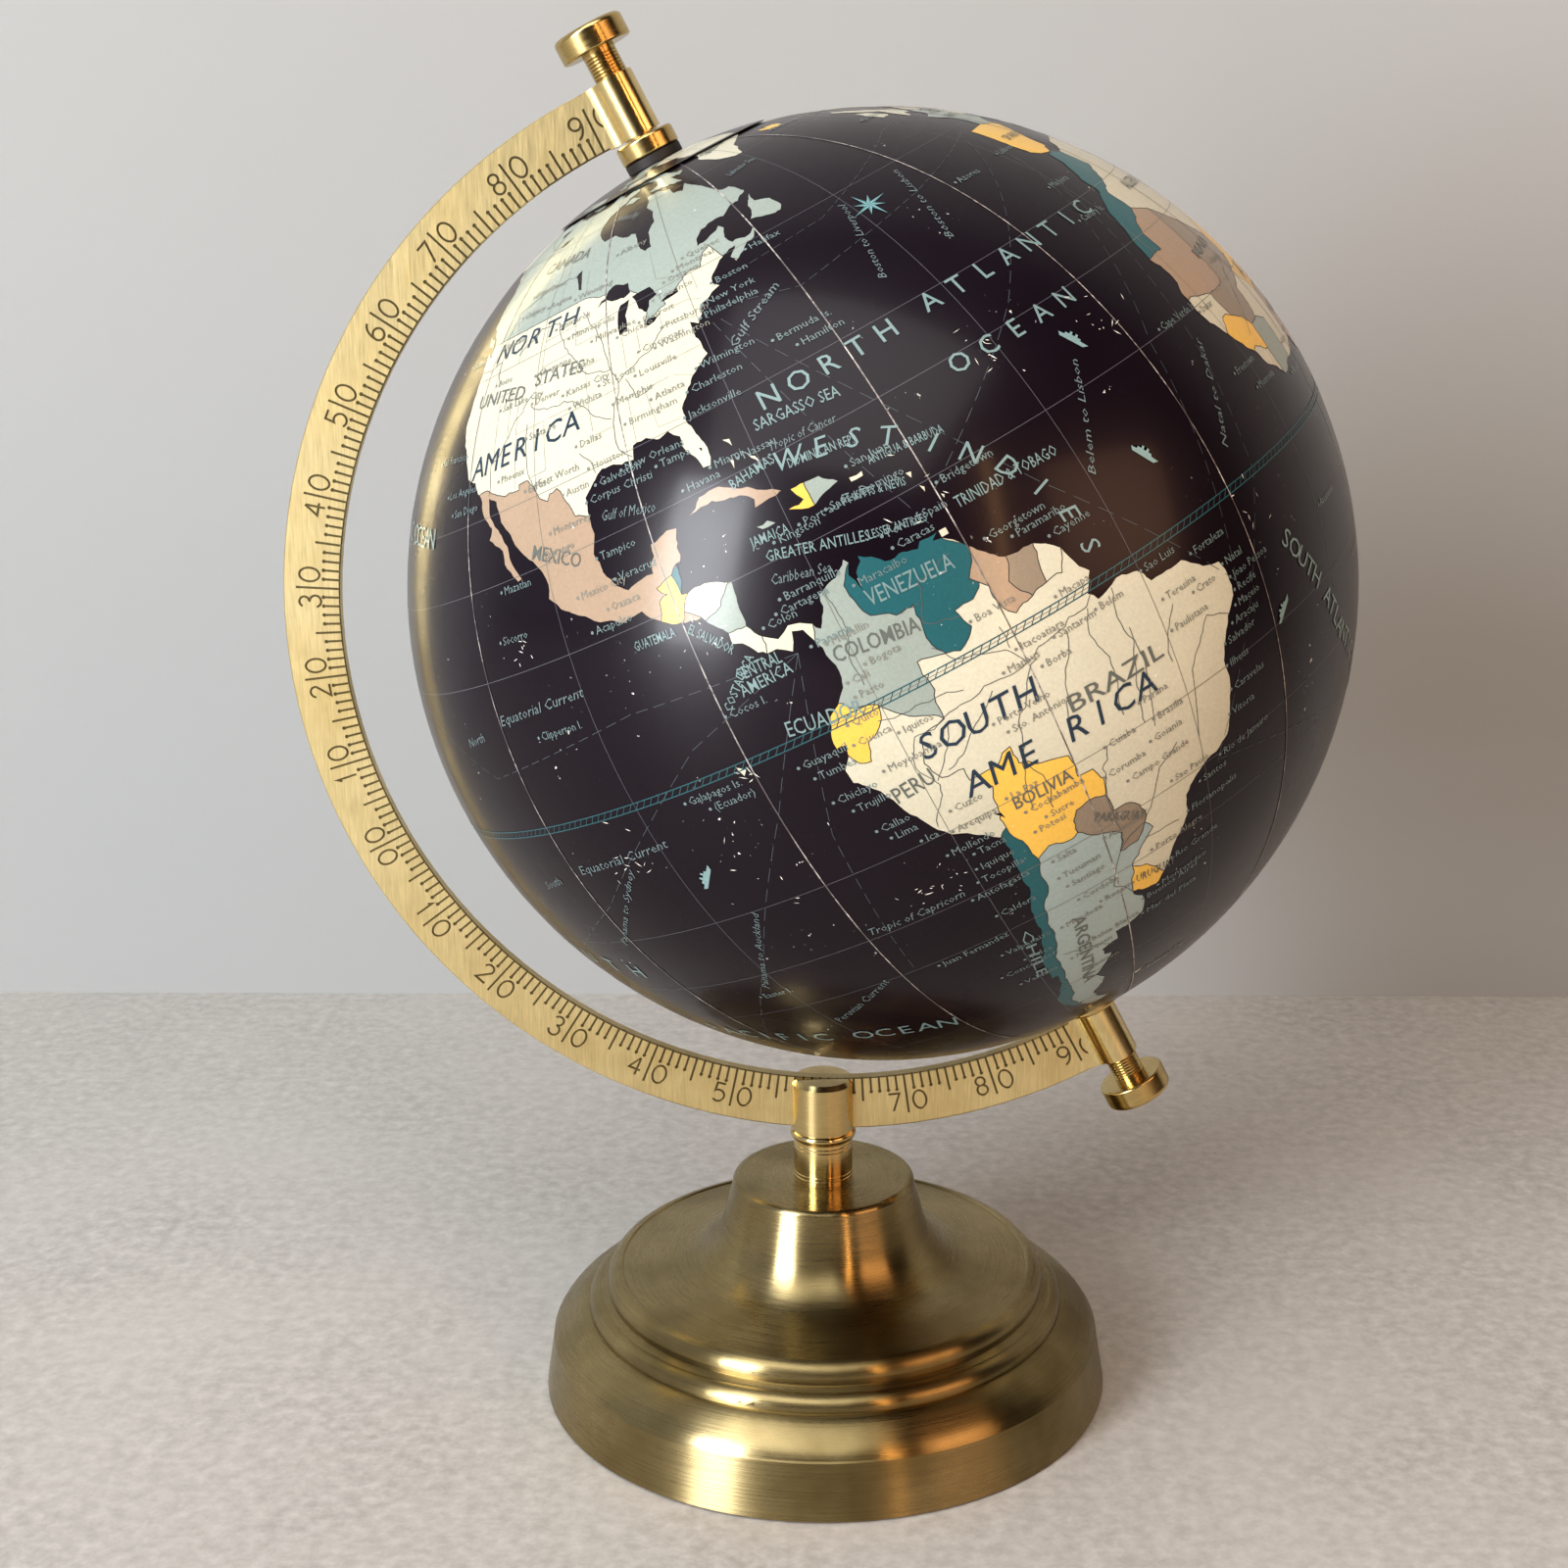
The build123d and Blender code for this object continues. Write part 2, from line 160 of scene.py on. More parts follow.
def stepped(a, b, step):
    n = max(1, math.ceil(max(abs(b[0] - a[0]), abs(b[1] - a[1])) / step))
    return [(a[0] + (b[0] - a[0]) * i / n, a[1] + (b[1] - a[1]) * i / n) for i in range(n + 1)]


def trace(bm, line, width, radius, dash=None):
    """A line through several places; dash keeps every other step."""
    count = 0
    for a, b in zip(line, line[1:]):
        pieces = stepped(a, b, dash or CELL)
        for c, d in zip(pieces, pieces[1:]):
            count += 1
            if dash is None or count % 3:
                ribbon(bm, c, d, width, radius)


# ---- Coasts (longitude,latitude), one outline for each body of land ----
AMERICA = """
-141,69.6 -135,69 -130,70 -125,69.5 -121,69.8 -115,68.5 -109,68 -102,67.8 -97,68 -95,69.5 -93,71.5
-90,69 -88,68 -85,69.5 -82,69 -81.5,67.5 -86,66.5 -87,65 -90,64 -93,62.5 -94.5,60.5 -94.7,58.8
-92.5,57 -88,56.5 -85,55.3 -82.3,55 -82,53 -80.5,51.3 -79,51.5 -79,54 -77,55.5 -76.8,57.5 -78.5,59
-77.5,60.5 -78,62.4 -73.5,62.3 -70,61 -69.5,59 -67,58.5 -65,60 -62,57.5 -60,55 -57.3,54.5 -55.7,52.5
-58.5,51.3 -63,50.2 -66.5,50.3 -69.9,48.9 -70.3,47.9 -68.0,48.2 -65,49.2 -64.3,48.5 -65.2,47.2 -64.5,46
-61.5,45.8 -60,46.5 -61,45.2 -63.5,44.5 -65.7,43.5 -66.2,44.3 -64.5,45.4 -67,45 -69,44 -70.6,43
-70.8,42.3 -70,41.7 -71.5,41.4 -73.9,40.7 -74.2,39.6 -75.2,38.8 -76.3,39.4 -76.3,37.5 -75.9,36.8
-75.6,35.3 -77,34.6 -78.6,33.9 -80,32.7 -81.3,31.4 -81.3,29.8 -80.5,28.2 -80,26.8 -80.4,25.2
-81.3,25.3 -82,26.8 -82.8,28 -82.7,29 -84,30 -85.3,29.7 -87,30.4 -89,30.3 -89.4,29 -90.6,29.2
-92.3,29.5 -94,29.6 -95.3,28.9 -97.2,27.7 -97.2,25.9 -97.8,22.5 -97.2,20.6 -96,19 -94.7,18.2
-92.7,18.6 -91.2,18.6 -90.4,20 -90.3,21.1 -88,21.6 -86.8,21.4 -87.5,19.8 -87.7,18.5 -88.3,18.5
-88.3,17 -88.9,15.9 -88.2,15.7 -86,15.9 -83.2,15 -83.6,12.5 -83.7,11 -82.6,9.6 -81.2,8.8 -79.7,9.5
-77.4,8.7 -76.8,8 -75.6,9.6 -75.4,10.7 -74.3,11.1 -73.2,11.3 -71.7,12.4 -71.3,11.9 -71.9,11
-71.3,9.3 -71.1,10.9 -70.2,11.6 -70.2,12.1 -69,11.5 -68,10.6 -66,10.6 -64.5,10.2 -64,10.7 -62,10.7
-62.8,10.2 -61,9.5 -60,8.4 -58.7,7.2 -57.2,6 -55,5.9 -54,5.8 -52.8,5.2 -51.6,4.2 -50.8,2 -50,1.2
-51.3,-0.5 -50.5,-1.5 -48.5,-1 -47,-0.7 -44.7,-1.8 -44.2,-2.8 -41.5,-2.9 -39.9,-2.8 -38,-4.2
-37,-4.8 -35.4,-5.2 -34.9,-7 -35.1,-9 -37,-11 -38.5,-13 -39,-15.5 -39.2,-17.7 -40,-20 -41,-22
-43,-23 -44.7,-23.2 -46.4,-24 -48.4,-25.6 -48.7,-28 -50,-29.6 -52.2,-32.2 -53.4,-33.7 -54.9,-34.9
-57,-34.5 -58.4,-33.9 -58.4,-34.4 -57.2,-35.4 -57,-36.5 -57.6,-38.1 -60,-38.9 -62.2,-38.9
-62.2,-40.5 -65,-41 -64.9,-42.2 -63.7,-42.6 -65.3,-44.4 -67.4,-46 -66,-47.7 -67.6,-49.9 -69,-51
-68.4,-52.4 -71,-53.6 -73.5,-52.5 -75,-50 -75.3,-47.5 -74,-46 -73,-44 -72.8,-41.7 -73.8,-41.7
-73.5,-39.5 -73.6,-37.2 -72.5,-35.5 -71.5,-32.5 -71.5,-30 -70.8,-27 -70.4,-23.5 -70.2,-20
-70.4,-18.4 -72,-17.1 -75,-15.4 -76.3,-13.8 -77.2,-12 -78.5,-9.3 -79.8,-7.3 -81.2,-6 -81.3,-4.5
-80.3,-3.4 -79.9,-2.3 -81,-2.2 -80.9,-1 -80,0.8 -78.8,1.4 -77.5,2.6 -77.1,4 -77.5,6.5 -77.9,7.3
-78.5,8.6 -79.6,8.9 -80.4,7.3 -81.8,8.1 -82.9,8.1 -83.7,8.5 -84.8,9.8 -85.8,10.1 -85.7,11.1
-87.5,12.9 -87.8,13.3 -90.1,13.7 -92.2,14.5 -94,16 -96.5,15.7 -99.5,16.6 -102,17.9 -104.3,19.1
-105.7,20.4 -105.3,21.6 -106.7,23.8 -109,25.6 -110.5,27.5 -112.2,29 -113.1,31.2 -114.8,31.8
-114.7,30.8 -112.9,28.4 -111.3,26.5 -110.5,24.3 -109.5,23.1 -110.2,23 -112.2,25 -112.3,26.3
-114.9,27.8 -114.2,28.8 -116,30.3 -117.1,32.5 -118.5,34 -120.6,34.6 -121.9,36.6 -122.5,37.8
-123.8,39.3 -124.4,40.4 -124.1,43 -124,46.2 -124.7,48.4 -122.6,47.3 -123,49 -125,50.3 -127.7,51.5
-130,54.7 -130,55.9 -133.5,58 -137,58.8 -140,59.7 -144.5,60 -148,60.6 -151.5,59.3 -152,61 -154,59.2
-158,57 -163,55 -160.5,56 -157.5,58.7 -162,58.7 -164.5,60.5 -165.5,62.5 -161,64.5 -166.5,65
-168,65.6 -162,66.5 -166.5,68.2 -163,69.8 -156.5,71.3 -150,70.5"""
AFRICA = """
-5.9,35.8 -2,35.1 3,36.8 10,37.3 11,33.8 15.3,32.4 20,30.9 20.2,32.6 25,31.7 32.3,31.2 32.6,29.9
35.5,24 37.2,20.5 39.5,15.5 43.1,12.4 43.5,11.3 51.2,11.9 49,7 46,2.8 42,-0.9 39.3,-4.7 39.5,-8
40.5,-11 40.5,-15 36,-18.8 35,-20 35.4,-23.8 32.9,-26 32.5,-28.5 30.5,-31.2 27,-33.6 22,-34.1
18.4,-34.1 18,-32 16,-28.6 14.5,-22.5 11.8,-17.5 13.7,-12.5 12.2,-6 9,-1 9.7,4 6,4.3 4.3,6.3
-1,5.2 -4,5.2 -7.5,4.4 -11,6.5 -13.3,9 -15,11 -16.8,13 -17.4,14.7 -16.2,19 -17,21 -14.5,26.2
-13,27.7 -9.8,29.8 -9.7,31.5 -6.8,34"""
EURASIA = """
-5.6,36 -8.9,37 -9.4,39 -8.8,43.2 -1.8,43.4 -1.2,46 -4.7,48.4 -1.5,48.7 1.6,50.9 4.5,52.2 8,54
8.2,57 10.6,57.5 9.8,55 11,54 14,54 19,54.5 21,56 24,57.2 23.5,59.3 28,59.7 30,60 22,60.5 21.3,63
25.3,65.2 22,65.6 17.3,61.5 18.8,60 16.5,57 14.3,55.5 12.5,56 11,59 8,58 5.2,60 6,62.5 12,66 17,69
25,71 31,70 41,67.2 38,64.5 44,66 54,68.5 60,69 68,68.5 69,72.5 74,71.5 80,73 88,75 104,77.6
113,74 125,73.5 140,72.5 152,71 170,69.5 180,69 189,66.2 180,64.8 177,62.5 170,60 163.5,59.8
162,56 156.8,51.2 156,56.8 163,62 155,59.3 143,59.3 135.3,54.7 140.5,50 135,43.5 130.8,42.5
127.5,39.8 129.4,36 126.5,34.5 126.2,37.8 121.5,39 122,40.7 118,39 122,37 119.3,35 121.8,31.7
121.5,28.5 118,24.3 113.5,22.3 109.8,21.3 108,21.5 105.8,18.8 109.3,13 107,10.5 104.8,8.7
102,12.5 100.3,13.4 99.2,10 100.6,7 103.4,2.8 103.8,1.3 101,3 98.3,8 98.6,13 97.5,16.8 94.3,16
91.8,22.3 87,21.4 82.3,16.6 80.1,13.3 79.8,10.3 77.5,8 74.8,13 72.8,19 72.7,21 69,22.2 66.7,25
61.6,25.2 57,26.8 54,26.6 50.2,30 48,30 50,26.7 51.5,25 54,24.1 56.4,26 59.8,22.4 57.7,18.9
52.2,15.6 45,12.8 42.7,16.5 39,21.5 35,28 34.8,29.5 34.2,31.3 36,35.8 32.3,36.1 27.5,37 26.2,39.4
29,41 35,42 41.5,41.5 37.5,45 39,47.2 33.5,46.2 30.7,46.4 28,43.5 28.8,41.3 26,40.8 23,40.3 24,38
22.8,36.5 19.4,41 13.7,45.6 12.3,45.3 12.6,43 18.5,40 16.2,38 12.3,41.7 8.9,44.4 3.2,43.2 3.2,41.9
-0.3,39.5 -2.1,36.7"""
AUSTRALIA = """
114,-22 113.5,-26 115.7,-31.7 115,-34.3 118,-35 124,-33 129,-31.7 132,-32 135.5,-34.8 138,-33
138.5,-35.6 140.5,-38 144.5,-38.3 146.4,-39 150,-37.3 151.3,-33.5 153.3,-29 153,-25 149,-20.5
146,-18.8 145.3,-15 142.5,-10.8 141.5,-13.5 140.8,-17.5 137,-15.8 136,-12 132,-11.4 130,-13
128,-15 124,-16.5 122,-18.3 117,-20.7"""
ANTARCTICA = """
-180,-78 -160,-78 -150,-77 -135,-74.5 -110,-74 -100,-73 -80,-73.5 -68,-70 -62,-65 -57,-63.5
-61,-67 -62,-74 -78,-79 -60,-82 -35,-78 -20,-73.5 0,-70.5 20,-70 40,-69.5 55,-66.5 75,-69.5
90,-66.5 110,-66.5 135,-66.3 150,-68.5 165,-71 165,-78 180,-78 180,-89.9 -180,-89.9"""
ISLES = {
    "greenland": "-73,78.2 -65,76 -58,75.5 -55,72 -51,70 -53.5,67.5 -52,65 -49,61.5 -44,60 -42,62.5"
    " -39,65.5 -32,68 -24,70.3 -22,72.5 -19,75 -19,78 -12,81.5 -30,83.4 -45,82.5 -60,82 -66,80.5",
    "baffin": "-80,73.7 -77,72.8 -72,71.2 -68,70 -66,68 -62,66.6 -64,65 -68,66 -66,63 -65,61.8"
    " -71,62.8 -77,64.3 -73.5,65.5 -73,68.3 -79,70 -89,70.5 -89,73",
    "victoria": "-117,70 -112,70.5 -105,69 -102,69.3 -105,73 -115,73.3 -118,71.5",
    "banks": "-125,72 -121,71.4 -117,73.5 -122,74.3 -125,73",
    "ellesmere": "-90,76.5 -80,76 -75,79 -62,82.5 -75,83 -90,81.5",
    "devon": "-96,75 -80,74.5 -80,75.7 -95,76.5",
    "somerset": "-95,73 -91,72.8 -92,74 -98,74",
    "southampton": "-87,64 -84,63.3 -80.5,64 -84,65.8",
    "newfoundland": "-59.3,47.7 -57,50.5 -55.6,51.5 -56,50 -53.5,49.2 -53,47.5 -54,46.8 -55.8,46.9",
    "vancouver": "-128,50.7 -125,50 -123.5,48.5 -126,49.2",
    "iceland": "-24,65.5 -22,66.3 -18,66.1 -14.7,65.8 -14,64.7 -18.7,63.4 -22.5,63.9",
    "cuba": "-84.9,21.9 -83,23 -80.5,23.1 -77.5,21.9 -74.3,20.2 -77.6,19.9 -77.3,20.6 -78.6,21.5"
    " -81.8,22.2",
    "jamaica": "-78.3,18.3 -77,18.4 -76.3,17.9 -77.8,17.9",
    "hispaniola": "-74.4,18.4 -72.5,18.6 -73.3,19.9 -71.7,19.9 -70,19.8 -68.4,18.6 -70.5,18.2 -71.7,17.7",
    "puerto_rico": "-67.2,18.4 -65.7,18.4 -65.8,18 -67.2,18",
    "abaco": "-78,26.8 -77.2,26.6 -77.2,25.9",
    "andros": "-78.2,25 -77.7,24.6 -78,23.9",
    "exuma": "-76,24.6 -75.3,24.1 -75.1,23.3",
    "guadeloupe": "-61.8,16.4 -61.2,16.3 -61.5,15.8",
    "martinique": "-61.2,14.9 -60.8,14.6 -61,14.2",
    "barbados": "-59.7,13.4 -59.4,13.2 -59.6,12.9",
    "trinidad": "-61.8,10.7 -61,10.7 -61,10.1 -61.8,10.1",
    "galapagos": "-91.5,0.1 -91,-0.2 -90.6,-0.5 -91.1,-1",
    "hawaii": "-156,20.2 -154.8,19.5 -155.7,18.9",
    "fuego": "-68.6,-52.7 -66,-54.7 -68.5,-55.3 -71.5,-54 -70,-53",
    "falkland": "-61,-51.8 -58,-51.5 -59,-52.3",
    "britain": "-5.5,50 1.3,51.3 1.7,52.7 -0.2,53.5 -2,56 -3.2,58.6 -5.5,58 -5,55 -3,53.5 -4.8,52",
    "ireland": "-10,52 -6.3,52.2 -6,54.5 -8,55.3 -10,54",
    "madagascar": "49.3,-12 50.3,-15.5 47,-25 44,-25 43.5,-21.5 44.5,-16.3",
    "ceylon": "80,9.7 81.8,7 80.5,6 79.8,8",
    "sumatra": "95.3,5.5 98.5,3.8 104,-1.5 106,-5.8 104,-5.5 100.5,-1",
    "java": "105.3,-6.7 108.5,-6.7 114.5,-7.7 114.4,-8.7 108,-7.8",
    "borneo": "109,1.7 113,3 117,7 119,5 117.5,1 116,-4 110.5,-3",
    "celebes": "119.5,-5.5 119,-2 120,1 125,1.5 121,0.5 121.5,-1 123,-4.5 121,-3.5",
    "guinea": "131,-1 135,-3.3 141,-2.6 146,-5.5 148,-8.5 150.5,-10.5 146,-8.5 143,-9 138,-8.3 133.5,-4",
    "luzon": "120.3,18.5 122.2,18.4 121.7,15.5 124,13 120.5,14",
    "mindanao": "122,7.5 125,9.8 126.5,7 125.5,5.7 124,7",
    "formosa": "120.2,23 121.5,25.2 121,22",
    "honshu": "130.9,34 135.5,35.5 137,37 140,40 141.3,41.4 142,39.5 140.8,35.8 138,34.6 135.5,33.6",
    "kyushu": "129.8,33 131.5,33.7 131,31.2",
    "hokkaido": "140,42 141.7,45.4 145.3,43.3 143.2,42",
    "sakhalin": "142,46 144,49 143.4,54.3 142.3,54.2 141.9,50",
    "tasmania": "144.7,-40.8 148.2,-41 147,-43.5",
    "north_zealand": "172.7,-34.5 175.5,-37 178.4,-37.8 175.3,-41.5 173.9,-39.2",
    "south_zealand": "172.7,-40.6 174.2,-41.7 171,-44.5 169,-46.6 166.6,-46",
    "novaya": "52,71.5 57,70.7 56,73 68,76.8 58,75.5",
    "spitsbergen": "12,79.5 17,77 21,78.3 27,80 18,80.3",
    "sicily": "12.5,38 15.6,38.2 15,36.8",
    "sardinia": "8.3,41 9.7,41 9.5,39.1 8.4,39",
    "crete": "23.6,35.4 26.2,35.2 24.5,34.9",
    "cyprus": "32.4,35 34.5,35.6 33.5,34.6",
    "hainan": "108.7,19.2 110.8,20 110,18.4",
}

# ---- Countries: an outline may run out over the sea, where no land takes its colour ----
LANDS = [
    ("blue", "-141,75 -141,60.3 -137.5,59 -135,59.5 -133.5,58.6 -130,56 -134,54 -127,48.2 -123,49"
     " -95.2,49 -93,48.6 -89.6,48 -88.4,48.3 -84.8,46.8 -83.5,46 -82.5,45.3 -82.4,43 -83.1,42.1"
     " -82.5,41.7 -79,42.8 -79.2,43.4 -76.5,44.1 -74.7,45 -71.4,45.1 -70,46.7 -68.5,47.3 -67.8,46"
     " -67,44.5 -63,42 -50,46 -55,58 -60,66 -70,74 -75,76.5 -62,84 -100,84"),
    ("tan", "-117.3,32.5 -114.8,32.5 -111,31.3 -108.2,31.3 -108.2,31.8 -106.4,31.8 -104.5,29.6"
     " -103.2,29 -102.7,29.6 -101.4,29.8 -100.3,28.3 -99.2,26.5 -97,25.9 -96,24 -96,20 -91,23 -85,22"
     " -87,18.5 -88.3,18.5 -89.2,17.8 -91.4,17.3 -90.4,16.4 -91.6,16.1 -92.2,14.5 -97,14 -107,19"
     " -108,22 -113,24 -117,28"),
    ("yellow", "-92.3,14.2 -92.2,14.5 -91.6,16.1 -90.4,16.4 -91.4,17.3 -89.2,17.8 -88.9,15.9"
     " -88.2,15.7 -89.3,14.4 -90.1,13.5"),
    ("teal", "-89.2,17.8 -88.3,18.5 -87.5,17 -88.6,15.8 -88.9,15.9"),
    ("tan", "-89.3,14.4 -90.1,13.5 -88,12.8 -87.8,13.4"),
    ("blue", "-83,15.3 -85,14 -87.5,12.9 -87.9,12 -85.7,11.1 -83.7,11 -82.5,12.5"),
    ("cream", "-83.7,11 -85.7,11.1 -86.5,10 -83,7.5 -82.9,8.1 -82.6,9.8"),
    ("cream", "-88.2,15.7 -89.3,14.4 -87.8,13.4 -87.5,12.9 -85,14 -83,15.3 -84,17"),
    ("blue", "-77.2,9 -77.9,7.1 -79,5 -78.8,1.4 -77.4,0.5 -75.2,-0.1 -73,-2.4 -70,-4.2 -69.6,-0.5"
     " -69.8,1.7 -66.9,1.2 -67.8,2.8 -67.5,6.2 -69.5,6.1 -71.8,7.1 -72.4,8.2 -72.8,10.4 -71.2,12"
     " -72,13 -76,12"),
    ("teal", "-71.2,12 -72.8,10.4 -72.4,8.2 -71.8,7.1 -69.5,6.1 -67.5,6.2 -67.8,2.8 -66.9,1.2"
     " -65.5,0.8 -63.4,2.2 -64.2,4.1 -62,4.2 -60.7,5.2 -61.4,5.9 -60.3,7.1 -59.8,8.5 -61.8,9.9"
     " -61.9,11.5 -69,13"),
    ("tan", "-60.7,5.2 -61.4,5.9 -60.3,7.1 -59.8,8.5 -57,6.5 -58,4 -56.5,1.9 -58.8,1.3 -59.8,2.3 -60,4.5"),
    ("taupe", "-57,6.5 -58,4 -56.5,1.9 -54.6,2.3 -54.4,4 -53.8,6.3"),
    ("cream", "-54.6,2.3 -54.4,4 -53.8,6.3 -51.2,4.6 -52.7,2.3"),
    ("yellow", "-78.8,1.6 -77.4,0.5 -75.2,-0.1 -75.6,-1.5 -77.8,-2.9 -78.5,-4.8 -79.6,-4.5 -80.3,-3.2"
     " -82,-2 -80.5,1.5"),
    ("cream", "-75.2,-0.1 -75.6,-1.5 -77.8,-2.9 -78.5,-4.8 -79.6,-4.5 -80.3,-3.2 -83,-5 -79,-14"
     " -72,-19 -70.4,-18.4 -69.5,-17.5 -69.4,-15.3 -68.8,-12.7 -69.6,-11 -70.6,-11 -70.6,-9.6"
     " -73,-9.4 -73.9,-7.3 -73,-5 -70,-4.2 -73,-2.4"),
    ("yellow", "-69.6,-11 -65.4,-9.8 -65.3,-11.8 -62,-13.2 -60.3,-13.7 -60.2,-16.3 -58.4,-16.4"
     " -57.6,-18.1 -58.1,-19.9 -61.8,-19.7 -62.6,-22.2 -64.5,-22.5 -66.2,-21.9 -67.9,-22.8"
     " -68.6,-19.8 -69.5,-17.5 -69.4,-15.3 -68.8,-12.7"),
    ("taupe", "-58.1,-19.9 -57.8,-22.1 -55.6,-22.3 -54.3,-24 -54.6,-25.6 -56,-27.3 -58.6,-27.3"
     " -57.7,-25.2 -60.5,-23.8 -62.6,-22.2 -61.8,-19.7"),
    ("teal", "-70.6,-18.4 -69.5,-17.5 -68.6,-19.8 -67.9,-22.8 -68.5,-25 -69.8,-29 -70.2,-33 -71,-36.5"
     " -71.6,-40 -71.9,-44 -72,-48 -73.2,-50 -72.3,-52 -68.4,-52.3 -70,-55 -77,-52 -77,-45 -74,-35"
     " -72,-25"),
    ("slate", "-68.4,-52.3 -72.3,-52 -73.2,-50 -72,-48 -71.9,-44 -71.6,-40 -71,-36.5 -70.2,-33"
     " -69.8,-29 -68.5,-25 -67.9,-22.8 -66.2,-21.9 -64.5,-22.5 -62.6,-22.2 -60.5,-23.8 -57.7,-25.2"
     " -58.6,-27.3 -56,-27.3 -54.6,-25.6 -53.7,-26.8 -55.8,-28.3 -57.6,-30.2 -58.2,-32 -58.4,-34"
     " -55,-35.5 -55,-40 -60,-44 -63,-50"),
    ("yellow", "-57.6,-30.2 -56,-31 -53.3,-33.8 -54,-36 -58.4,-34.2 -58.4,-33.9 -58.2,-32"),
    ("slate", "-72,-52.5 -60,-51 -60,-56 -72,-56"),
    ("tan", "-86,24 -79,24 -73.6,20.3 -77,19.5 -86,21.5"),
    ("blue", "-79,19 -75.8,18.8 -75.8,17.2 -79,17.2"),
    ("yellow", "-75,18 -73,20.5 -71.7,20.3 -71.8,17.3"),
    ("blue", "-71.7,20.3 -71.8,17.3 -68,18 -68,20"),
    ("teal", "-17.5,21.2 -13,21.2 -13,23.5 -8.7,26 -8.7,28.7 -3.6,31 -1.2,32.2 -1.7,36 -7,36.5 -19,28"),
    ("tan", "-18,21.2 -13,21.2 -13,23.5 -8.7,26 -4.9,25 -6.5,15.5 -12,15 -16.5,16 -18,16"),
    ("taupe", "-4.9,25 -6.5,15.5 -12,15 -11.5,12.2 -8,10.2 -5.5,10.4 -4,13.5 0,15 4.2,16.5"
     " 4.2,19"),
    ("yellow", "-15.5,10.8 -13.7,12.6 -11.5,12.2 -8,10.2 -8.3,7.5 -11,8.5 -13.5,8"),
    ("blue", "-8,10.2 -5.5,10.4 -2.8,9.6 -3,4 -8,4 -8.3,7.5"),
    ("tan", "2.7,5.5 2.7,9 3.6,11.7 13.5,13.5 14,11.5 11.5,6.7 8.8,4 5,3.5"),
    ("yellow", "4.2,16.5 4.2,19 12,23.5 15,23 15.5,16.5 13.5,13.5 3.6,11.7 0.2,14.9"),
    ("blue", "9.5,30.3 11.5,34 25,33.5 25,20 24,19.5 15,23 12,23.5 9.4,26.2"),
    ("yellow", "25,33 25,22 37.5,22 34,28 34.9,29.5 34.2,31.6"),
    ("tan", "25,22 37.5,22 39.2,18 36.5,14.5 34,10.5 34,4 24.5,5 22.5,13 24,19.5 25,20"),
    ("teal", "39.2,18 36.5,14.5 34,10.5 36,4.5 42,4.2 48,8 43,11 43,12.8"),
    ("slate", "12,-5 17,-5 17.5,-8 22,-7.5 24,-11 22,-13 22,-17.5 14,-17.3 10,-17.3"),
    ("yellow", "12,-5 17,-5 17.5,-8 22,-7.5 24,-11 29,-13 29.5,-4 31,3.5 27,5 19,4.5 17.5,0 16,-3"),
    ("tan", "29.5,-4 34,1 34,4.5 42,4.2 44,-2 41,-12 34.5,-11.5"),
    ("blue", "30.3,-15.5 34.5,-11.5 42,-10.5 42,-16 36,-27 32,-26.8 31.3,-22.3 33,-19.8"),
    ("taupe", "10,-17.3 22,-17.5 25,-17.8 21,-18.3 21,-22 20,-28.5 16.4,-28.6 12,-26"),
    ("yellow", "16,-28.6 20,-28.5 20,-24.8 25.7,-25.7 29.4,-22.2 31.3,-22.3 32,-26.8 34,-27 28,-37 15,-36"),
    ("tan", "42,-10 52,-10 52,-27 42,-27"),
    ("yellow", "-10,44.5 -1.7,43.4 3.3,42.4 4,39 -2,35.9 -10,35.9"),
    ("blue", "-6,49 -1.7,43.4 3.3,42.4 7.5,43.6 7,46 8,49 2.5,51.3"),
    ("tan", "8,49 7,51.5 8,54.5 14.3,54.5 15,51 12.5,50.2 13.7,48.7"),
    ("teal", "7.5,43.6 7,46 13.7,46.5 13.7,45.3 19,40.5 16,36 11,37.5 11,42 8,38 7.5,41"),
    ("cream", "14.3,54.6 19.5,54.6 24,54 23.7,51 22.5,49.2 15,51"),
    ("yellow", "22.5,49.2 24,51.8 31,52.2 40,49.6 38.5,47 33,44 30,46 28,45.3"),
    ("cream", "4,57 4,62 20,71.8 31.5,71 29,69.3 20.5,69 14,65 12,61 11.3,58.8"),
    ("tan", "12,61 14,65 20.5,69 24,66 20,63 20.5,58.5 12.5,55 11.3,58.8"),
    ("blue", "31.5,71 29,69.3 28.5,67 30,63.5 27.7,60.3 28,58 31,54 31,52.2 40,49.6 39,44 48,41.8"
     " 48,46 50.5,51.5 61,51 61,54 71,54.5 80,51 87,49.2 98,50.5 107,49.8 116,49.8 120,53.3"
     " 131,48.3 131,42.5 145,44 160,48 192,64 192,72 105,80 60,79"),
    ("taupe", "48,46 50.5,51.5 61,51 61,54 71,54.5 80,51 87,49.2 80.5,45 80,42 69,41.5 60,44 56,41"
     " 51,44.5"),
    ("tan", "56,41 60,44 69,41.5 80,42 74,39.5 71,36.7 66.5,37.3 61,35.6 54,37.3 52,41"),
    ("slate", "87,49.2 98,50.5 107,49.8 116,49.8 120,47 112,43.5 105,41.7 96,42.7"),
    ("yellow", "74,39.5 80,42 80.5,45 87,49.2 96,42.7 105,41.7 112,43.5 120,47 116,49.8 120,53.3"
     " 131,48.3 131,42.6 124.5,40 124,30 118,21 109,17.5 108,21.5 102,22 98.5,24 98,28 89,27.7"
     " 81,30.3 78.5,34.5"),
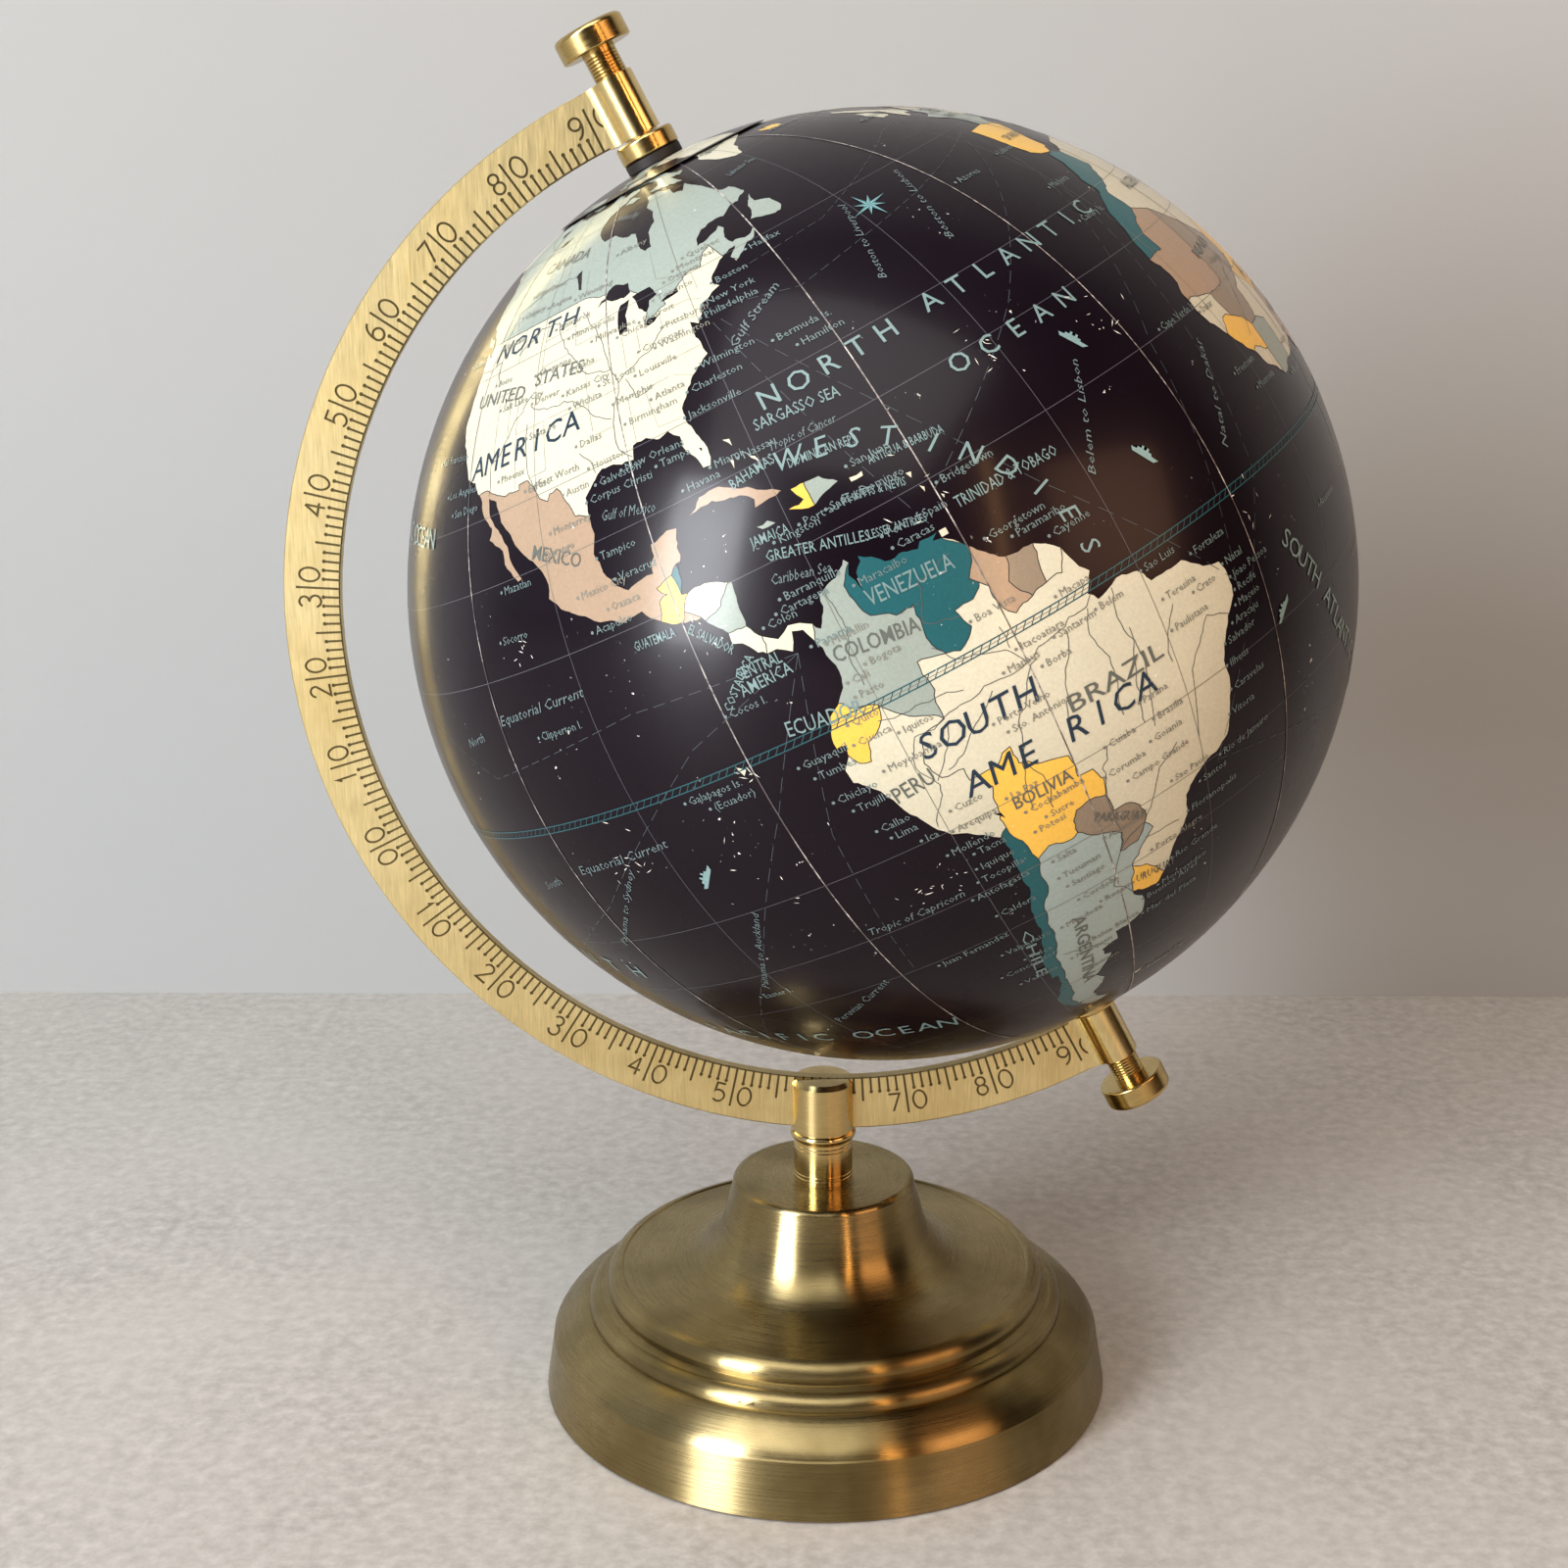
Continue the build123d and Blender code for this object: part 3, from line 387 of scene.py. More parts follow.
    ("tan", "68,23.5 71,27.8 74.5,31 74,34 78.5,34.5 81,30.3 88.2,26.5 92,22.5 89,20 80,7 76,6 66,22"),
    ("slate", "61.3,25 61.8,29.3 66.3,30 70,33.5 71,36.7 74.5,37 74,34 74.5,31 71,27.8 68,23.5"),
    ("teal", "44.5,39.5 48.8,38.3 54,37.3 61,35.6 61.8,29.3 61.3,25 55,26 50,29 47.7,31 45.5,34"),
    ("blue", "25.5,42 25,36 36,36 42.3,37.2 44.5,39.5 41.5,42 34,43.5"),
    ("tan", "35,28 37,29.5 42,31 48,29.5 52,25 56,22.5 55,18 43,16.5 39,20"),
    ("yellow", "55,18 56,22.5 56.5,27 61,22 53,13 43,11.8 43,16.5"),
    ("tan", "97.5,20 101,20 105,16.5 102.5,12.5 100.5,11 98,6.8 102,6 104,0 98,0"),
    ("blue", "101,20 102,22 108,21.5 112,16 108,8.5 104,9 107.5,13"),
    ("tan", "129,-10 129,-36 110,-38 110,-20"),
    ("blue", "129,-10 138,-10 138,-26 129,-26"),
    ("yellow", "141,-10 138,-16 138,-26 141,-26 141,-29 156,-28.5 150,-15"),
    ("teal", "141,-29 155,-28.5 151,-37.4 141,-34"),
    ("tan", "94,7 94,-10 108,-9.5 115.5,-9.5 116,-5.8 107,-5.5 104,2"),
    ("teal", "141,-2 141,-10 152,-12 152,-4"),
    ("yellow", "129,34.5 140,42 143,40 141,34 131,30"),
    ("yellow", "-26,68 -12,68 -12,62 -26,62"),
]
LAKES = [
    "-92,46.7 -88.5,48.6 -85,48 -84.8,46.6 -87.5,46.5",
    "-87.8,42 -86.3,42 -86.3,44 -85.2,45.8 -87,45.6 -87.9,43.5",
    "-84.6,45.9 -81,46 -80,44.6 -81.6,44.3 -82.4,43.1 -83.7,44",
    "-83.3,41.8 -79,42.9 -80.5,42 -82.6,41.4",
    "-79.7,43.4 -76.4,44.1 -76.4,43.5 -79,43.3",
    "-99,53 -97.5,53.7 -96.5,50.6 -97.3,50.8",
    "-116,61.3 -112,62.4 -110,62.8 -113.5,61",
    "-124,66 -119,67 -119,65.6 -122,64.9",
    "-70,-15.5 -69.3,-15.7 -69.1,-16.5",
    "-81,27.2 -80.6,27 -80.8,26.7",
    "-112.9,41.6 -112.2,41.3 -112.4,40.7",
    "49,46.5 53,46.8 53,42 53.8,37 49,37.6 49.5,41 47.5,43.5",
    "31.8,0 34,0 33.5,-2.5 31.8,-2.3",
    "104,51.5 109.5,55.5 108,53",
    "59,46 61.5,46 60,43.8 58.5,44.5",
]
RIVERS = [
    "-95.2,47.2 -93,44.8 -91,42 -90.2,38.8 -89.2,37 -90.5,35 -91.2,32 -91,30.5 -89.4,29.3",
    "-111.5,46 -106,48 -101,47.5 -98,43 -95.5,40.5 -90.2,38.8",
    "-80,40.5 -83,38.7 -86,38 -89.2,37", "-106,39.3 -101,38 -97.3,37.5 -94,35 -91.2,33.8",
    "-106.5,37.5 -106.5,33 -104.5,29.6", "-106,40.3 -109.5,38.5 -112,36.2 -114.6,35 -114.8,32",
    "-117,51 -118,48.5 -119,46 -123.8,46.2", "-116,44 -117,46.3 -119,46", "-113.5,61.2 -121,61.8 -130,66 -134.5,69",
    "-117,52 -110,53 -104,53.3 -99,53.2", "-97,32 -95,29.5", "-84,35 -87,34.6 -88,37",
    "-73.5,-4.5 -70,-4.1 -65,-3.2 -60,-3.2 -56,-2.2 -52,-1.5 -51,-0.6",
    "-75.8,-14 -73.5,-10 -74.8,-7 -73.5,-4.5", "-67.9,2.2 -66.5,0.5 -62,-1 -60,-3.2",
    "-76,-1.5 -70,-2 -67,-2.6", "-72,-9 -68,-6.5 -64.5,-4", "-66,-17 -65,-12 -63.5,-8 -59,-3.4",
    "-59,-12 -57.5,-7 -55,-2.5", "-53,-13 -52,-7 -53,-4 -52,-1.7", "-50,-16 -48.5,-9 -49.5,-4 -48.7,-1.2",
    "-51,-15 -50,-10 -48.7,-5.5", "-45,-20 -43.5,-13 -39.5,-9 -36.5,-10.4",
    "-48,-19 -51,-20.5 -54.5,-25.5 -58.5,-27.3 -60.7,-31.5 -58.4,-34", "-56,-15 -57.7,-19 -57.7,-25 -58.5,-27.3",
    "-64,3.5 -67.5,4.5 -66,7.8 -62,8.6", "-75.5,2 -74.5,7 -74.8,10.9", "-70,-5 -72,-8 -73.5,-9.5",
    "-69.5,6.1 -67,6.1", "-61,1 -61,-1.2", "-43,-6 -45,-8.5 -45.5,-11", "-64,-18 -63.5,-15 -64.5,-12.2",
    "-70.5,-38 -67,-39 -63,-41", "-50,-28 -55,-27.5", "32,0.5 31,4 30.5,9.5 32.5,15.5 33,19 31.5,25 31,30.5",
    "36,12 33,15.5", "-10.5,9.5 -4,15 0,17 4,13 6.5,7.8 6.2,4.8", "26,-10 25.5,-1 21,2 17,-1 15,-4.5 12.6,-6",
    "23,-13 25.5,-17.8 30.5,-15.7 35.5,-18", "8.5,48 16,48.2 19,46 23,44 28.5,45",
    "34,57.5 44,56.3 49,54 46,48.5 48,46", "8.3,47.5 8,50 5,52", "84,52 70,59 69,66.5", "92,52 87,61 83,71.5",
    "106,54 125,61 127,72", "121,53 131,48.5 140,52.5", "96,34 100,27 107,29.5 115,30 121.5,31.7",
    "97,35 104,36.5 109,40 111,36 118.5,37.7", "79,30.5 83,25.5 88,24.5 90,22.8", "79,33 72,33 69,27 67.5,24.3",
    "98,31 101,21 105.5,15 106.5,10.3", "144,-36 139.5,-35", "36,34 44,33 48,30.5", "38,38 42,34 47.5,31",
]
STATES = [  # state and province lines
    "-111,49 -111,45 -104,45", "-117,49 -117,42", "-120,42 -111,42 -111,37", "-114,42 -114,35",
    "-109,41 -109,31.5", "-104,49 -104,41 -102,41", "-102,37 -94.6,37", "-109,37 -103,37 -103,32 -106.5,32",
    "-104,43 -98,43", "-104,46 -96.5,46", "-97,49 -96.5,43.5 -91.3,43.5", "-95.7,40.5 -91.5,40.5",
    "-94.6,40 -94.6,36.5 -89.5,36.5", "-100,36.5 -94.6,36.5 -94.4,33.5", "-94,33 -91,33", "-87.5,41.7 -87.5,38",
    "-84.8,41.7 -84.8,39", "-80.5,42 -80.5,40.6 -75,39.7", "-88,35 -85.5,35 -85,30.8 -82,30.6", "-88.2,35 -88.4,30.4",
    "-90.3,35 -81.7,35", "-81,35 -78.5,34", "-83.7,36.6 -76,36.5", "-110,60 -110,49", "-102,60 -102,49",
    "-95,53 -95,49", "-120,60 -120,54 -114,49", "-135,60 -102,60 -94.7,60", "-79.5,51 -79.5,46.5 -75,45.3",
    "-79.7,42.3 -75.3,42 -73.3,41.3", "-73.3,45 -73.3,42.7", "-91.5,45 -88,45.9",
]

INKS = {
    "cream": (0.57, 0.545, 0.425), "blue": (0.29, 0.335, 0.30), "tan": (0.37, 0.27, 0.19),
    "yellow": (0.78, 0.49, 0.10), "taupe": (0.27, 0.22, 0.165), "teal": (0.026, 0.115, 0.13),
    "slate": (0.33, 0.40, 0.385),
}


# =====================================================================
# Finishes
# =====================================================================
class Sheet:
    """A short way to place and join shader nodes in one tree."""

    def __init__(self, tree):
        self.tree = tree

    def add(self, kind, **settings):
        node = self.tree.nodes.new("ShaderNode" + kind)
        for key, value in settings.items():
            setattr(node, key, value)
        return node

    def join(self, out, into):
        self.tree.links.new(out, into)
        return into

    def math(self, operation, a, b=None, clamp=False):
        node = self.add("Math", operation=operation, use_clamp=clamp)
        for socket, value in zip(node.inputs, (a, b)):
            if value is None:
                continue
            if isinstance(value, (int, float)):
                socket.default_value = value
            else:
                self.join(value, socket)
        return node.outputs[0]

    def noise(self, vector, scale, detail=2, rough=0.5):
        node = self.add("TexNoise")
        node.inputs["Scale"].default_value = scale
        node.inputs["Detail"].default_value = detail
        node.inputs["Roughness"].default_value = rough
        self.join(vector, node.inputs["Vector"])
        return node.outputs["Fac"]

    def span(self, value, low, high, to_low=0.0, to_high=1.0):
        node = self.add("MapRange", clamp=True)
        self.join(value, node.inputs["Value"])
        for key, number in zip(("From Min", "From Max", "To Min", "To Max"), (low, high, to_low, to_high)):
            node.inputs[key].default_value = number
        return node.outputs["Result"]

    def split(self, vector):
        node = self.add("SeparateXYZ")
        self.join(vector, node.inputs[0])
        return node.outputs

    def hypot(self, x, y):
        return self.math("SQRT", self.math("ADD", self.math("MULTIPLY", x, x), self.math("MULTIPLY", y, y)))

    def combine(self, *values):
        node = self.add("CombineXYZ")
        for value, socket in zip(values, node.inputs):
            self.join(value, socket)
        return node.outputs[0]

    def scale(self, vector, factor):
        node = self.add("VectorMath", operation="SCALE")
        self.join(vector, node.inputs[0])
        self.join(factor, node.inputs["Scale"])
        return node.outputs[0]

    def blend(self, fac, a, b):
        node = self.add("Mix", data_type="RGBA")
        for socket, value in ((node.inputs[0], fac), (node.inputs[6], a), (node.inputs[7], b)):
            if isinstance(value, (int, float)):
                socket.default_value = value
            elif isinstance(value, tuple):
                socket.default_value = (*value[:3], 1)
            else:
                self.join(value, socket)
        return node.outputs[2]


def group(name, inputs, outputs):
    tree = bpy.data.node_groups.new(name, "ShaderNodeTree")
    for title, kind, default in inputs:
        socket = tree.interface.new_socket(title, in_out="INPUT", socket_type="NodeSocket" + kind)
        if default is not None:
            socket.default_value = default
    for title, kind in outputs:
        tree.interface.new_socket(title, in_out="OUTPUT", socket_type="NodeSocket" + kind)
    return tree, Sheet(tree)


def ends(s):
    into = s.tree.nodes.new("NodeGroupInput")
    out = s.tree.nodes.new("NodeGroupOutput")
    return into.outputs, out.inputs


def turned_grain():
    """Lathe and polishing marks that run round the local Z axis, with slow patches of tarnish."""
    tree, s = group(
        "turned grain",
        [("Vector", "Vector", None), ("Fineness", "Float", 2600.0), ("Breaks", "Float", 2.2),
         ("Patches", "Float", 28.0)],
        [("Grain", "Float"), ("Tarnish", "Float")],
    )
    i, o = ends(s)
    x, y, z = s.split(i["Vector"])
    ring = s.combine(
        s.math("MULTIPLY", s.hypot(x, y), i["Fineness"]),
        s.math("MULTIPLY", z, i["Fineness"]),
        s.math("MULTIPLY", s.math("ARCTAN2", y, x), i["Breaks"]),
    )
    s.join(s.noise(ring, 1.0, 3, 0.65), o["Grain"])
    s.join(s.noise(s.scale(i["Vector"], i["Patches"]), 1.0, 4, 0.6), o["Tarnish"])
    return tree


def straight_grain():
    """Fine belt-brushed lines along the local Z axis."""
    tree, s = group(
        "straight grain",
        [("Vector", "Vector", None), ("Across", "Float", 3800.0), ("Along", "Float", 160.0)],
        [("Grain", "Float"), ("Tarnish", "Float")],
    )
    i, o = ends(s)
    steps = (i["Across"], i["Across"], i["Along"])
    line = s.combine(*(s.math("MULTIPLY", part, step) for part, step in zip(s.split(i["Vector"]), steps)))
    s.join(s.noise(line, 1.0, 3, 0.6), o["Grain"])
    s.join(s.noise(i["Vector"], 45.0, 4, 0.6), o["Tarnish"])
    return tree


def lacquer_wear():
    """Slow tone changes, a fine orange peel and clusters of small knocks through a lacquered print."""
    tree, s = group(
        "lacquer wear",
        [("Vector", "Vector", None), ("Colour", "Color", (0.5, 0.5, 0.5, 1)), ("Knocks", "Float", 1.0)],
        [("Colour", "Color"), ("Roughness", "Float"), ("Height", "Float")],
    )
    i, o = ends(s)
    tone = s.noise(i["Vector"], 22.0, 3, 0.55)
    print_grain = s.noise(i["Vector"], 1500.0, 2, 0.6)
    shade = s.math("ADD", s.span(tone, 0.3, 0.7, 0.93, 1.05), s.span(print_grain, 0.3, 0.7, -0.05, 0.05))
    toned = s.scale(i["Colour"], shade)
    stretch = s.add("Mapping")
    stretch.inputs["Rotation"].default_value = (0.3, 0.5, 0.9)
    stretch.inputs["Scale"].default_value = (900, 420, 900)
    s.join(i["Vector"], stretch.inputs["Vector"])
    fleck = s.noise(stretch.outputs[0], 1.0, 2, 0.7)
    where = s.noise(i["Vector"], 60.0, 2, 0.5)
    mask = s.math("MULTIPLY", s.span(fleck, 0.70, 0.74), s.span(where, 0.58, 0.66))
    mask = s.math("MULTIPLY", mask, i["Knocks"], clamp=True)
    s.join(s.blend(mask, toned, (0.75, 0.74, 0.70)), o["Colour"])
    peel = s.noise(i["Vector"], 700.0, 2, 0.5)
    s.join(s.span(tone, 0.3, 0.7, 0.24, 0.33), o["Roughness"])
    s.join(s.math("SUBTRACT", s.math("MULTIPLY", peel, 0.6), s.math("MULTIPLY", mask, 0.8)), o["Height"])
    return tree


TURNED, STRAIGHT, WEAR = turned_grain(), straight_grain(), lacquer_wear()


def material(name, metallic=0.0, **sockets):
    """A Principled material; returns it with its node sheet and the shader."""
    mat = bpy.data.materials.new(name)
    mat.use_nodes = True
    s = Sheet(mat.node_tree)
    shader = mat.node_tree.nodes["Principled BSDF"]
    shader.inputs["Metallic"].default_value = metallic
    for key, value in sockets.items():
        shader.inputs[key.replace("_", " ")].default_value = value
    return mat, s, shader


def local(s, centre=(0, 0, 0), lean=0.0):
    """Object coordinates about a centre, turned so that local Z lies along the piece's own axis."""
    where = s.add("TexCoord").outputs["Object"]
    if lean or any(centre):
        move = s.add("Mapping", vector_type="TEXTURE")
        move.inputs["Location"].default_value = centre
        move.inputs["Rotation"].default_value = (0, -lean, 0)
        s.join(where, move.inputs["Vector"])
        where = move.outputs[0]
    return where


def bumped(s, shader, height, depth):
    bump = s.add("Bump")
    bump.inputs["Distance"].default_value = depth
    s.join(height, bump.inputs["Height"])
    s.join(bump.outputs[0], shader.inputs["Normal"])


QUARTER_TURN = 0.25  # lays the shine across the lathe marks


def brass(name, light, dark, rough, grain, centre=(0, 0, 0), lean=0.0, depth=0.003, wear=0.5, brushed=0.6,
          sunk_shade=None, polish=None):
    """Metal with brushed grain.

    light and dark are its clean and tarnished colours, rough its low and high roughness, depth the relief of the
    grain in millimetres. sunk gives a factor on the colour that paints shade into the floors of engraved marks, and
    polish a factor on the roughness.
    """
    mat, s, shader = material(name, 1.0)
    if grain is TURNED and not lean:
        shader.inputs["Anisotropic"].default_value = brushed
        shader.inputs["Anisotropic Rotation"].default_value = QUARTER_TURN
        s.join(s.add("Tangent", direction_type="RADIAL", axis="Z").outputs[0], shader.inputs["Tangent"])
    marks = s.add("Group", node_tree=grain)
    s.join(local(s, centre, lean), marks.inputs["Vector"])
    tarnish = s.span(marks.outputs["Tarnish"], 0.5 - wear * 0.4, 0.75)
    tone = s.blend(tarnish, light, dark)
    grain_and_mark_shade = s.span(marks.outputs["Grain"], 0.25, 0.75, 0.84, 1.1)
    # painted shade: the floors of engraved marks are darkened in the colour, on top of the grain
    if sunk_shade:
        grain_and_mark_shade = s.math("MULTIPLY", grain_and_mark_shade, sunk_shade(s))
    s.join(s.scale(tone, grain_and_mark_shade), shader.inputs["Base Color"])
    matt = s.math("ADD", s.span(marks.outputs["Grain"], 0.2, 0.8, *rough), s.math("MULTIPLY", tarnish, 0.06))
    if polish:
        matt = s.math("MULTIPLY", matt, polish(s))
    s.join(matt, shader.inputs["Roughness"])
    bumped(s, shader, marks.outputs["Grain"], depth * MM)
    return mat


ARC_THICKNESS = 3.0 * MM
MARK_STARTS, MARK_DARK = 0.08 * MM, 0.16 * MM  # depths over which the painted shade in an engraved mark deepens
MARK_SHADE = 0.22
BOSS_EDGE = (4.6 * MM, 5.4 * MM)


def engraving_shade(s):
    """Painted shade: darkens the floors of the marks that are cut into the numbered face of the arc."""
    face = -ARC_THICKNESS / 2
    depth = s.split(s.add("TexCoord").outputs["Object"])["Y"]
    facing = s.split(s.add("NewGeometry").outputs["Normal"])["Y"]
    sunk_shade = s.span(depth, face + MARK_STARTS, face + MARK_DARK)
    flat = s.span(facing, -0.9, -0.7, 1.0, 0.0)
    return s.span(s.math("MULTIPLY", sunk_shade, flat), 0, 1, 1.0, MARK_SHADE)


def boss_polish(s):
    """Share of the brushed roughness that is left on the turned bosses at the ends of the arc."""
    x, y, _ = s.split(local(s, tuple(BALL), AXIS_LEAN))
    return s.span(s.hypot(x, y), *BOSS_EDGE, 0.5, 1.0)


def base_brass():
    return brass("spun antique brass", (0.42, 0.335, 0.175), (0.19, 0.145, 0.06), (0.21, 0.31), TURNED,
                 depth=0.005, brushed=0.93)


def stem_brass():
    return brass("polished stem brass", (0.72, 0.58, 0.30), (0.50, 0.37, 0.16), (0.14, 0.24), TURNED)


def pivot_brass():
    return brass("turned pivot brass", (0.72, 0.56, 0.27), (0.46, 0.33, 0.13), (0.12, 0.25), TURNED,
                 tuple(BALL), AXIS_LEAN)


def arc_brass():
    # the engraved marks get painted shade in their floors
    return brass("brushed meridian brass", (0.84, 0.69, 0.375), (0.66, 0.51, 0.24), (0.30, 0.40), STRAIGHT,
                 depth=0.0015, wear=0.35, sunk_shade=engraving_shade, polish=boss_polish)


def steel():
    return brass("brushed steel", (0.55, 0.56, 0.57), (0.36, 0.36, 0.36), (0.25, 0.4), TURNED)


def ballast_iron():
    mat, s, shader = material("cast iron", 0.9)
    where = local(s)
    rough = s.noise(where, 900.0, 4, 0.7)
    s.join(s.blend(s.noise(where, 90.0, 3), (0.06, 0.055, 0.05), (0.12, 0.10, 0.085)), shader.inputs["Base Color"])
    s.join(s.span(rough, 0.3, 0.7, 0.55, 0.8), shader.inputs["Roughness"])
    bumped(s, shader, rough, 0.15 * MM)
    return mat


def fibrous(name, scale, detail, rugged, dark, light, rough, relief, **sockets):
    """A matt material of fibres or pulp: rough is its low and high roughness, relief in millimetres."""
    mat, s, shader = material(name, **sockets)
    fibre = s.noise(local(s), scale, detail, rugged)
    s.join(s.blend(fibre, dark, light), shader.inputs["Base Color"])
    s.join(s.span(fibre, 0.2, 0.8, *rough), shader.inputs["Roughness"])
    bumped(s, shader, fibre, relief * MM)
    return mat


def felt():
    return fibrous("green felt", 2600.0, 4, 0.75, (0.008, 0.03, 0.016), (0.03, 0.09, 0.05), (0.85, 1.0), 0.2,
                   Sheen_Weight=0.5)


def board():
    return fibrous("grey board", 700.0, 5, 0.7, (0.20, 0.17, 0.13), (0.36, 0.32, 0.26), (0.75, 0.9), 0.06)


def fibre_washer():
    return fibrous("dark fibre", 1500.0, 4, 0.7, (0.012, 0.011, 0.010), (0.035, 0.03, 0.026), (0.45, 0.65), 0.03)


def printed_ink(name, colour, knocks=1.0):
    """Ink on paper under gloss lacquer; knocks is how strongly the paper shows at small chips."""
    mat, s, shader = material(name, Coat_Weight=0.28, Coat_Roughness=0.13, Coat_IOR=1.4, Specular_IOR_Level=0.20)
    wear = s.add("Group", node_tree=WEAR)
    s.join(local(s), wear.inputs["Vector"])
    wear.inputs["Colour"].default_value = (*colour, 1)
    wear.inputs["Knocks"].default_value = knocks
    s.join(wear.outputs["Colour"], shader.inputs["Base Color"])
    s.join(wear.outputs["Roughness"], shader.inputs["Roughness"])
    bumped(s, shader, wear.outputs["Height"], 0.012 * MM)
    return mat


def worn_joint():
    """The whitish, unevenly rubbed line where two gores meet."""
    mat, s, shader = material("worn gore joint", Coat_Weight=0.3, Coat_Roughness=0.2)
    where = local(s)
    stretches = s.span(s.noise(where, 130.0, 3), 0.40, 0.62)
    flecks = s.span(s.noise(where, 900.0, 3, 0.7), 0.36, 0.60)
    patch = s.math("MULTIPLY", stretches, flecks)
    s.join(s.blend(patch, (0.10, 0.085, 0.085), (0.62, 0.58, 0.54)), shader.inputs["Base Color"])
    s.join(s.span(patch, 0, 1, 0.35, 0.6), shader.inputs["Roughness"])
    return mat


# =====================================================================
# The printed ball
# =====================================================================
SEA_COLOUR = (0.0090, 0.0046, 0.0090)
LINE_LATS = [printed(v) for v in (-75, -60, -45, -30, -23.45, -15, 0, 15, 23.45, 30, 45, 60, 75)]
POLE_CUT = 86.4
SEA_END = 79  # latitude where the sea's own sphere stops, under the caps
LINE_END = CALOTTE_LAT + 8
NEAR = 1e-4  # degrees within which an edge counts as lying on a line


def polar_matrix():
    turn = Matrix((ACROSS, SIDE, NORTH)).transposed()
    return Matrix.Translation(BALL) @ turn.to_4x4()


def sea_gores():
    bm = bmesh.new()
    bmesh.ops.create_uvsphere(bm, u_segments=144, v_segments=72, radius=SEA_R, matrix=polar_matrix())
    high = [v for v in bm.verts if abs((v.co - BALL).normalized().dot(NORTH)) > math.sin(math.radians(SEA_END))]
    bmesh.ops.delete(bm, geom=high, context="VERTS")
    piece = finished_mesh("sea_gores", bm, printed_ink("sea ink", SEA_COLOUR))
    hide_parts("map_gores")


def map_rings():
    """All outlines with the index at which the countries and the lakes start."""
    grounds = [AMERICA, AFRICA, EURASIA, AUSTRALIA, ANTARCTICA, *ISLES.values()]
    rings = [roughened(plotted(t), True) for t in grounds]
    lands = [roughened(plotted(t), True) for _, t in LANDS]
    lakes = [roughened(plotted(t), True, 2) for t in LAKES]
    return rings + lands + lakes, len(rings), len(rings) + len(lands)


def flat_map():
    """The land as a flat triangulated sheet; each face knows its country."""
    rings, first_land, first_lake = map_rings()
    verts, faces = [], []
    for ring in rings:
        area = sum(a[0] * b[1] - b[0] * a[1] for a, b in zip(ring, ring[1:] + ring[:1]))
        if area < 0:
            ring = ring[::-1]
        faces.append(list(range(len(verts), len(verts) + len(ring))))
        verts.extend(Vector(p) for p in ring)
    coords, _, tris, _, _, sources = delaunay_2d_cdt(verts, [], faces, 1, 1e-5)
    bm = bmesh.new()
    country = bm.faces.layers.int.new("country")
    made = [bm.verts.new((c.x, c.y, 0)) for c in coords]
    for tri, source in zip(tris, sources):
        if not source or min(source) >= first_land or max(source) >= first_lake:
            continue
        face = bm.faces.new([made[k] for k in tri])
        face[country] = max(source) - first_land if max(source) >= first_land else -1
    bmesh.ops.delete(bm, geom=[v for v in bm.verts if not v.link_faces], context="VERTS")
    return bm, country


def cut_sheet(bm):
    """Cuts the flat sheet along a fine grid, so that it can follow the ball."""
    cuts = [(Vector((-180 + CELL * k, 0, 0)), Vector((1, 0, 0))) for k in range(1, 149)]
    rows = [-90 + CELL * k for k in range(1, 72)] + LINE_LATS + [CALOTTE_LAT, -CALOTTE_LAT, -POLE_CUT]
    cuts += [(Vector((0, y, 0)), Vector((0, 1, 0))) for y in rows]
    for place, normal in cuts:
        geom = bm.verts[:] + bm.edges[:] + bm.faces[:]
        bmesh.ops.bisect_plane(bm, geom=geom, dist=1e-6, plane_co=place, plane_no=normal)


def on_line(a, b):
    """True if an edge of the flat sheet lies on a meridian or parallel that is drawn."""
    if abs(a.x - b.x) < NEAR:
        return abs(a.x / 15 - round(a.x / 15)) < NEAR and abs(a.y) < LINE_END
    return abs(a.y - b.y) < NEAR and any(abs(a.y - y) < NEAR for y in LINE_LATS)


def lands():
    """Coloured lands with their borders and the map lines that cross them."""
    bm, country = flat_map()
    cut_sheet(bm)
    borders, lines = bmesh.new(), bmesh.new()
    for e in bm.edges:
        a, b = (v.co for v in e.verts)
        ends_at = (a.x, a.y), (b.x, b.y)
        if len(e.link_faces) == 2 and e.link_faces[0][country] != e.link_faces[1][country]:
            ribbon(borders, *ends_at, 0.17 * MM, LINE_R)
        elif on_line(a, b):
            ribbon(lines, *ends_at, 0.13 * MM, LINE_R)
    south = [f for f in bm.faces if f.calc_center_median().y < -POLE_CUT]
    bmesh.ops.delete(bm, geom=south, context="FACES")
    rim = [e for e in bm.edges if all(abs(abs(v.co.y) - CALOTTE_LAT) < NEAR for v in e.verts)]
    bmesh.ops.split_edges(bm, edges=rim)
    names = list(INKS)
    for f in bm.faces:
        index = f[country]
        f.material_index = names.index(LANDS[index][0]) if index >= 0 else 0
    risen = {v for f in bm.faces if abs(f.calc_center_median().y) > CALOTTE_LAT for v in f.verts}
    for v in bm.verts:
        v.co = BALL + radial(v.co.x, v.co.y) * (LAND_R + (CALOTTE_RISE if v in risen else 0))
    inks = [printed_ink(name + " land ink", INKS[name]) for name in names]
    piece = finished_mesh("lands", bm, inks[0])
    for ink in inks[1:]:
        piece.data.materials.append(ink)
    dark = printed_ink("border ink", (0.045, 0.05, 0.05), 0.3)
    finished_mesh("borders", borders, dark)
    finished_mesh("land_lines", lines, printed_ink("land line ink", (0.20, 0.19, 0.16), 0.3))


def drawn_lines(name, lines, width, ink, radius=LINE_R, dash=None, rough=False):
    bm = bmesh.new()
    for line in lines:
        trace(bm, roughened(line, False) if rough else line, width * MM, radius, dash)
    finished_mesh(name, bm, ink)


